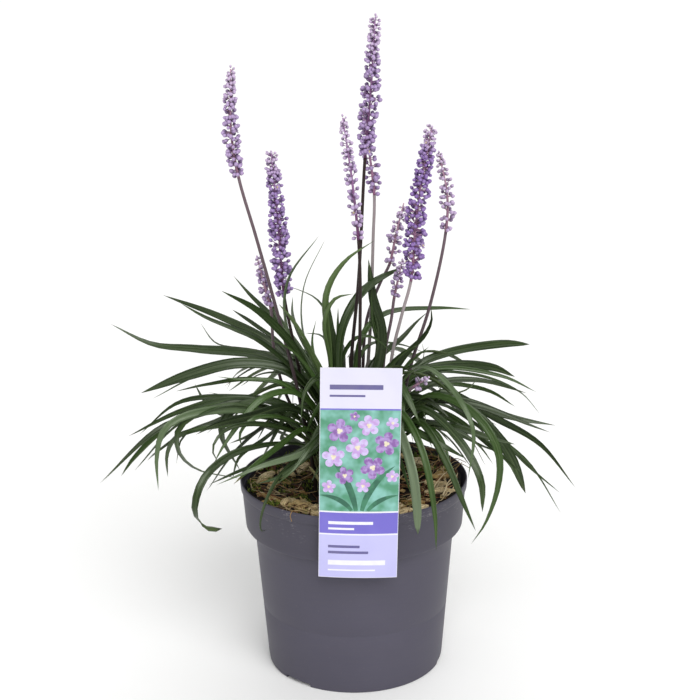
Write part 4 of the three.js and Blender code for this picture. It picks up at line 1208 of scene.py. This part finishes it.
def strap_leaf(bm, layers, way, width, roll, heading_of, draw, tone, dry=0.0, blunt=0.0, twist=12, flip=0):
    """One strap leaf: channelled above, with a soft keel below. It twists along its way by up to that many
    degrees, and its end turns over by flip."""
    phase, twist, slim = 50 * draw(), twist * draw(-1, 1), lerp(1.3, 3, draw() ** 1.3) + blunt
    widest = draw(0.56, 0.76)
    rings = []
    for j in range(LEAF_ROWS + 1):
        done = j / LEAF_ROWS
        along = way.along(done)
        heading = math.radians(heading_of(done))
        level = Vector((-math.sin(heading), math.cos(heading), 0))
        level = (level - along * level.dot(along)).normalized()
        wander = 14 * noise.noise(Vector((done * 3, phase, 0))) * done + twist * smoothstep(done, 0.35, 1)
        wander += flip * smoothstep(done, 0.76, 0.93)
        rolled = math.radians(roll * smoothstep(done, 0.12, 0.55) + wander)
        side = level * math.cos(rolled) + along.cross(level) * math.sin(rolled)
        taper = 1 - max(0, (done - widest) / (1 - widest)) ** slim
        half = width / 2 * lerp(0.4, 1, smoothstep(done, 0.04, widest)) * taper
        half *= 1 + 0.05 * noise.noise(Vector((done * 9, phase, 5)))
        rings.append((way.at(done), side, along.cross(side), half, taper, done))
    edges = [2 * i / LEAF_COLUMNS - 1 for i in range(LEAF_COLUMNS + 1)]
    section = [(u, 0) for u in edges] + [(u, 1) for u in reversed(edges)]
    channel = 0.15 * width

    def place(i, j):
        centre, side, up, half, taper, done = rings[j]
        if j in (0, LEAF_ROWS):
            return centre, (0, done * way.length, tone, 0.5, dry * (j > 0))
        u, under = section[i]
        gutter = channel * taper * (u * u - 0.35) * min(1, done * 4 + 0.3)
        flat = LEAF_THICKNESS * (1 - 0.62 * u * u) * lerp(0.6, 1, taper)
        rise = gutter + flat * (0.5 - under)
        withered = smoothstep(done, 1.02 - 0.25 * dry, 1.03)
        return centre + side * (half * u) + up * rise, (half * u, done * way.length, tone, under, withered)

    wrapped_grid(bm, len(section), LEAF_ROWS, place, layers)


class LeafSettings(bpy.types.PropertyGroup):
    """Colours of the leaves."""
    deep: colour_setting("Deep", "Colour of an old leaf", "#101c07")
    fresh: colour_setting("Fresh", "Colour of a young leaf", "#2f4a14")
    pale: colour_setting("Pale", "Colour of the veins and underside", "#78895c")
    inner: number_setting("Inner leaves", "Short young leaves at the heart of each crown", 5)
    slimness: FloatProperty(name="Slimness", description="Width of a long leaf as a share of its solid's",
                            default=0.79, subtype="FACTOR", min=0.5, max=1)


class LIRIOPE_OT_leaves(bpy.types.Operator):
    """Makes every tuft of strap leaves on its own crown, along the ways of the solids"""
    bl_idname = "liriope.leaves"
    bl_label = "Leaf tufts"

    def execute(self, context):
        settings = context.scene.liriope_leaves
        tints = [shade_of(colour) for colour in (settings.deep, settings.fresh, settings.pale)]
        cuticle = leaf_cuticle("Waxy strap leaf", *tints, "#a8854f")
        sheath = leaf_cuticle("Old leaf sheath", "#6f6a3c", "#a39a63", "#cfc69c", "#8a6a42")
        draw = random_source(SEEDS["leaves"])
        seated = with_seats([*LEAVES, *filling_leaves()])
        for crown in CROWNS:
            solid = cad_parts[f"tuft_{crown}"].data
            corners = [vertex.co for vertex in solid.vertices]
            surface = BVHTree.FromPolygons(corners, [face.vertices for face in solid.polygons])
            own = [(number, row, seat) for number, (row, seat) in enumerate(seated) if row[0] == crown]
            bm = bmesh.new()
            layers = new_layers(bm, *LEAF_LAYERS)
            for number, row, seat in own:
                usual = (self.tone_of(row, draw), settings.slimness * draw(0.88, 1.08), 0)
                tone, slimness, blunt = LEAF_LOOKS.get(number, usual)
                dry = 0.4 * draw() if draw() < 0.05 else 0.0
                found = found_bend(row, seat, surface)
                if found:
                    turn, points = found
                    strap_leaf(bm, layers, Way(points), slimness * row[1], row[2],
                               lambda done: row[3] + turn + row[4] * done, draw, tone, dry, blunt,
                               flip=TURNED_ENDS.get(number, 0))
            for row in fine_leaves([row for _, row, _ in own]):
                way = Way(leaf_points(row, draw(-4, 4), 0, 0))
                strap_leaf(bm, layers, way, row[1], row[2], lambda done: row[3] + row[4] * done, draw,
                           self.tone_of(row, draw), 0.4 * draw() if draw() < 0.06 else 0.0, twist=40)
            self.heart_leaves(bm, layers, crown, settings.inner, draw)
            green = set(bm.faces)
            self.crown_base(bm, layers, crown, draw)
            set_material([face for face in bm.faces if face not in green], 1)
            finished_piece(f"leaf_tuft_{crown}", bm, [cuticle, sheath], [f"tuft_{crown}"])
        return {"FINISHED"}

    def tone_of(self, row, draw):
        """Steep narrow leaves are the young ones, and brighter."""
        steep = (row[6] - SOIL_HEIGHT) / max(8, row[5])
        return min(1, 0.7 * draw() ** 1.8 + 0.22 * (row[1] <= 6) + 0.25 * smoothstep(steep, 2.5, 7))

    def heart_leaves(self, bm, layers, crown, count, draw):
        """Short young leaves that stand between the long ones."""
        for i in range(count):
            bearing = 360 * (i + draw()) / count
            reach, height = draw(7, 24), draw(38, 88)
            reaches = [share * reach for share in (0.1, 0.14, 0.4, 1)]
            way = rising_way(crown, bearing, reaches, (3, 14, 0.62 * height, height), 60)
            strap_leaf(bm, layers, way, draw(3.6, 5.6), draw(-40, 40), lambda done: bearing,
                       draw, draw(0.3, 1))

    def crown_base(self, bm, layers, crown, draw):
        """The crown itself with the old sheaths that wrap it."""
        x, y = around(*CROWNS[crown])
        stump = Way([(x, y, SOIL_HEIGHT + up) for up in (-20, 0, CROWN_ABOVE + 6)], 20)
        tube(bm, stump, lambda done: CROWN_RADIUS * (1 - 0.55 * smoothstep(done, 0.5, 1)), 16, 12,
             layers=layers, values=(20, 0.4, 0.3, 0.3))
        for i in range(CROWN_SHEATHS):
            bearing = 360 / CROWN_SHEATHS * (i + draw())
            tall, lean = draw(14, 34), draw(3, 13)
            reaches = (4.2, 4.9, 4.9 + 0.4 * lean, 4.9 + lean)
            way = rising_way(crown, bearing, reaches, (-3, 5, 0.6 * tall, tall), 40)
            strap_leaf(bm, layers, way, draw(4.5, 7), 0, lambda done: bearing, draw, draw(), draw(),
                       blunt=2)


# ------------------------------------------------------------------ stems and flower spikes
def spike_way(name):
    """The way of a stem and its spike, upright in the soil and then through its points."""
    _, (x, y), _, _, _, points = SPIKES[name]
    return Way([*[(x, y, SOIL_HEIGHT + up) for up in (-STEM_DEPTH, -2, 12)], *points], 300)


class FlowerSettings(bpy.types.PropertyGroup):
    """Buds, their sizes and their colours."""
    bud_length: length_setting("Bud length", "Length of a full bud", 3.9)
    bud_width: length_setting("Bud width", "Width of a full bud", 3.1)
    full: colour_setting("Full bud", "Colour of a full bud", "#7d57a4")
    young: colour_setting("Young bud", "Colour of a young bud", "#d8c2dc")


# Finishes of a stem and of the spike's axis on it: name, colour at the foot and at the top.
STALKS = {
    "dark": ("Dark flower stalk", "#17110c", "#2e201d"),
    "brown": ("Brown flower stalk", "#251c16", "#74626a"),
    "pale": ("Pale grey flower stalk", "#74726a", "#a69a9d"),
}
AXES = {
    "dark": ("Dark spike axis", "#6b3a63", "#bb90c2"),
    "brown": ("Mauve spike axis", "#9a7286", "#c9a2b8"),
    "pale": ("Pink spike axis", "#a4718f", "#c79cc0"),
}


class LIRIOPE_OT_stems(bpy.types.Operator):
    """Makes each flower stem, up to where its flowers start"""
    bl_idname = "liriope.stems"
    bl_label = "Flower stems"

    def execute(self, context):
        finishes = {tone: flower_stalk(*finish, 0.3) for tone, finish in STALKS.items()}
        for name, (tone, _, flowers_from, _, _, _) in SPIKES.items():
            way = spike_way(name)
            bm = bmesh.new()
            layers = new_layers(bm, "along")
            tube(bm, way, lambda done: lerp(STEM_BASE_RADIUS, STEM_TOP_RADIUS, done), STEM_SIDES, 60,
                 last=way.share_at_height(flowers_from), layers=layers)
            finished_piece(f"flower_stem_{name}", bm, [finishes[tone]], [f"stem_{name}"])
        return {"FINISHED"}


class LIRIOPE_OT_spikes(bpy.types.Operator):
    """Makes each flower spike: clusters of globe-shaped buds on short stalks round its axis"""
    bl_idname = "liriope.spikes"
    bl_label = "Flower spikes"

    def execute(self, context):
        settings = context.scene.liriope_flowers
        self.length = settings.bud_length / MM
        self.width = settings.bud_width / MM
        bud = waxy_bud(shade_of(settings.young), shade_of(settings.full))
        axes = {tone: flower_stalk(*finish) for tone, finish in AXES.items()}
        anthers = pollen()
        draw = random_source(SEEDS["spikes"])
        for name, (tone, _, flowers_from, radius, young, _) in SPIKES.items():
            bm = bmesh.new()
            layers = new_layers(bm, *BUD_LAYERS)
            way = spike_way(name)
            start = way.share_at_height(flowers_from)
            tube(bm, way, lambda done: lerp(STEM_TOP_RADIUS, AXIS_TIP_RADIUS, done), 10, 40, start, 0.997,
                 layers[:1])
            set_material(bm.faces, 1)
            self.clusters(bm, way, start, radius, young, draw)
            finishes = [bud, axes[tone], anthers]
            finished_piece(f"flower_spike_{name}", bm, finishes, [f"spike_{name}"])
        return {"FINISHED"}

    def clusters(self, bm, way, start, radius, young, draw):
        """Rings of clusters up the axis, closer and smaller towards the tip."""
        total = (1 - start) * way.length
        up, turn = 2.5, 360 * draw()
        while up < total - 1.5:
            done = up / total
            full = radius * (0.86 + 0.2 * math.sin(math.pi * min(1, 1.5 * done)))
            full *= 1 - lerp(0.22, 0.55, young) * done ** 5
            size = lerp(1, lerp(0.8, 0.56, young), done ** 2.2) * (1 - 0.26 * smoothstep(done, 0.9, 1))
            paling = smoothstep(done, lerp(0.84, 0.25, young), 1)
            age = min(1, young + (1.1 - young) * lerp(0.85, 1, young) * paling)
            groups = 3 + (radius > FULL_HEAD) + (radius > BROAD_HEAD)
            ring = bmesh.new()
            layers = new_layers(ring, *BUD_LAYERS)
            for group in range(groups):
                bearing = turn + 360 * (group + 0.35 * (draw() - 0.5)) / groups
                each = round(lerp(2.9 if radius > FULL_HEAD else 2, 1.4, done) + 1.1 * (draw() - 0.5))
                for one in range(max(1, each)):
                    share = start + (up + draw(-1.2, 1.2)) / way.length
                    spread = 42 * (one - (each - 1) / 2) / max(1, each - 1) * (each > 1)
                    self.add_bud(ring, layers, way, share, bearing + spread + 12 * (draw() - 0.5),
                                 full * draw(0.72, 1.08), size * draw(0.82, 1.1), age, draw)
            if total - up < 4:
                self.shape_bud(ring, layers, way.at(0.999), way.along(1), 2.2, 1.5, 0.5, 1.0)
            absorb(bm, ring)
            turn += 360 / groups / 2 + 20 * (draw() - 0.5)
            up += lerp(5.7 if radius > FULL_HEAD else 7, 2.5, done ** 0.8) * draw(0.85, 1.15)

    def add_bud(self, bm, layers, way, share, bearing, reach, size, age, draw):
        """One bud on its stalk, or now and then an open flower."""
        share = min(0.998, share)
        along = way.along(share)
        side = Vector((0, -1, 0)).cross(along).normalized()
        angle = math.radians(bearing)
        outward = side * math.cos(angle) + along.cross(side) * math.sin(angle)
        rise = math.radians(draw(-12, 48))
        direction = (outward * math.cos(rise) + along * math.sin(rise)).normalized()
        foot = way.at(share)
        length, width = self.length * size, self.width * size
        stalk = max(0.8, reach - length) / max(0.6, math.cos(rise))
        base = foot + direction * stalk
        middle = pointing(foot + direction * stalk / 2, direction)
        thread = bmesh.ops.create_cone(bm, cap_ends=True, segments=5, radius1=0.32 * size * MM,
                                       radius2=0.42 * size * MM, depth=stalk * MM, matrix=middle)["verts"]
        for vertex in thread:
            vertex[layers[0]] = 0.8
        set_material(faces_of(thread), 1)
        tone = draw()
        if size > 0.85 and draw() < OPEN_SHARE:
            self.open_flower(bm, layers, base, direction, size, tone, age)
        else:
            self.shape_bud(bm, layers, base - direction * 0.2, direction, length, width, tone, age)

    def shape_bud(self, bm, layers, base, direction, length, width, tone, age):
        """A globe with three soft lobes, widest below the middle and blunt at its tip."""
        made = bmesh.ops.create_uvsphere(bm, u_segments=9, v_segments=6, radius=0.5)["verts"]
        for vertex in made:
            x, y, z = vertex.co
            share = z + 0.5
            lobe = 1 + 0.1 * math.cos(3 * math.atan2(y, x)) * share
            girth = width * lobe * (1 + 0.16 * math.sin(math.pi * share)) * lerp(1.0, 0.84, share)
            vertex.co = Vector((x * girth, y * girth, share * length)) * MM
            give_values(vertex, layers, (share, tone, age))
        bmesh.ops.transform(bm, matrix=pointing(base, direction), verts=made)

    def open_flower(self, bm, layers, base, direction, size, tone, age):
        """Six spread petals round six cream anthers."""
        flower = pointing(base, direction)
        for petal in range(6):
            spread = rotation(math.tau * petal / 6, "Z") @ rotation(math.radians(52), "Y")
            made = bmesh.ops.create_uvsphere(bm, u_segments=6, v_segments=5, radius=0.5)["verts"]
            for vertex in made:
                share = vertex.co.z + 0.5
                give_values(vertex, layers, (0.6 + 0.4 * share, tone, min(1, age + 0.25)))
                vertex.co = Vector((0.5 * vertex.co.x + 0.5 * share * share, 1.9 * vertex.co.y, 3.2 * share))
                vertex.co *= size * MM
            bmesh.ops.transform(bm, matrix=flower @ spread, verts=made)
        for anther in range(6):
            x, y = around(60 * anther + 30, 0.55)
            place = flower @ Matrix.Translation(Vector((x, y, 1.7)) * size * MM)
            made = bmesh.ops.create_icosphere(bm, subdivisions=1, radius=0.34 * size * MM, matrix=place)
            set_material(faces_of(made["verts"]), 2)


# ------------------------------------------------------------------ the studio
SENSOR_WIDTH = 36
CAMERA = {"place": (0, -1.049, 0.549), "tip": 16.29, "roll": -0.6, "shift": -0.0034}  # metres and degrees


class StudioSettings(bpy.types.PropertyGroup):
    """Floor, light and camera."""
    floor_colour: colour_setting("Floor", "Colour of the paper", "#fbfbfa")
    key_strength: FloatProperty(name="Key light", description="Strength of the main soft light", default=2.3)
    fill_strength: FloatProperty(name="Fill light", description="Strength of each other light", default=0.6)
    sky: FloatProperty(name="Surround", description="Strength of the even light from all round", default=0.26)
    lens: FloatProperty(name="Lens", description="Focal length for a 36 mm sensor", default=77.14)


class LIRIOPE_OT_studio(bpy.types.Operator):
    """Makes the paper floor, the soft lights and the camera"""
    bl_idname = "liriope.studio"
    bl_label = "Studio"

    def execute(self, context):
        settings = context.scene.liriope_studio
        self.make_floor(settings)
        for name, place, spread, strength in (
            ("key_light", (0.45, -1.35, 1.35), 45, settings.key_strength),
            ("fill_light", (-0.9, -1.3, 0.9), 60, 0.8 * settings.fill_strength),
            ("back_light", (0.2, 0.8, 1.7), 60, 1.7 * settings.fill_strength),
        ):
            self.make_light(name, place, spread, strength)
        world = bpy.data.worlds.new("Surround")
        world.use_nodes = True
        sky = world.node_tree.nodes["Background"]
        sky.inputs["Color"].default_value = linear("#ffffff")
        sky.inputs["Strength"].default_value = settings.sky
        context.scene.world = world
        context.scene.view_settings.view_transform = "Standard"
        self.make_camera(context, settings)
        return {"FINISHED"}

    def make_floor(self, settings):
        bm = bmesh.new()
        bmesh.ops.create_grid(bm, x_segments=8, y_segments=8, size=70)
        floor = new_object("paper_floor", mesh_from("paper_floor", bm))
        floor.data.materials.append(studio_white(settings.floor_colour))

    def make_light(self, name, place, spread, strength):
        """A large soft light, far away so that it is even over the whole floor."""
        light = bpy.data.lights.new(name, "SUN")
        light.angle = math.radians(spread)
        light.energy = strength
        lamp = new_object(name, light)
        lamp.location = place
        lamp.rotation_euler = (-Vector(place)).to_track_quat("-Z", "Y").to_euler()

    def make_camera(self, context, settings):
        """A long lens from a little above, tipped down towards the pot."""
        data = bpy.data.cameras.new("camera")
        data.lens, data.sensor_width, data.shift_x = settings.lens, SENSOR_WIDTH, CAMERA["shift"]
        camera = new_object("camera", data)
        tip = rotation(math.radians(90 - CAMERA["tip"]), "X") @ rotation(math.radians(CAMERA["roll"]), "Z")
        camera.matrix_world = Matrix.Translation(CAMERA["place"]) @ tip
        context.scene.camera = camera


# ------------------------------------------------------------------ the add-on
STEPS = (LIRIOPE_OT_pot, LIRIOPE_OT_mulch, LIRIOPE_OT_label, LIRIOPE_OT_leaves, LIRIOPE_OT_stems,
         LIRIOPE_OT_spikes, LIRIOPE_OT_studio)
SETTINGS = {
    "liriope_pot": PotSettings, "liriope_mulch": MulchSettings, "liriope_label": LabelSettings,
    "liriope_leaves": LeafSettings, "liriope_flowers": FlowerSettings, "liriope_studio": StudioSettings,
}


class LIRIOPE_PT_panel(bpy.types.Panel):
    """Lists every step that makes the potted liriope"""
    bl_idname = "LIRIOPE_PT_panel"
    bl_label = "Potted Liriope"
    bl_space_type = "VIEW_3D"
    bl_region_type = "UI"
    bl_category = "Liriope"

    def draw(self, context):
        for step in STEPS:
            self.layout.operator(step.bl_idname)
        for name, group in SETTINGS.items():
            column = self.layout.column(align=True)
            column.label(text=group.__doc__)
            for setting in group.__annotations__:
                column.prop(getattr(context.scene, name), setting)


def register():
    for cls in (*SETTINGS.values(), *STEPS, LIRIOPE_PT_panel):
        bpy.utils.register_class(cls)
    for name, group in SETTINGS.items():
        setattr(bpy.types.Scene, name, PointerProperty(type=group))


def unregister():
    for name in SETTINGS:
        delattr(bpy.types.Scene, name)
    for cls in (LIRIOPE_PT_panel, *reversed(STEPS), *SETTINGS.values()):
        bpy.utils.unregister_class(cls)


def main():
    register()
    for step in STEPS:
        group, action = step.bl_idname.split(".")
        getattr(getattr(bpy.ops, group), action)()


if __name__ == "__main__":
    main()
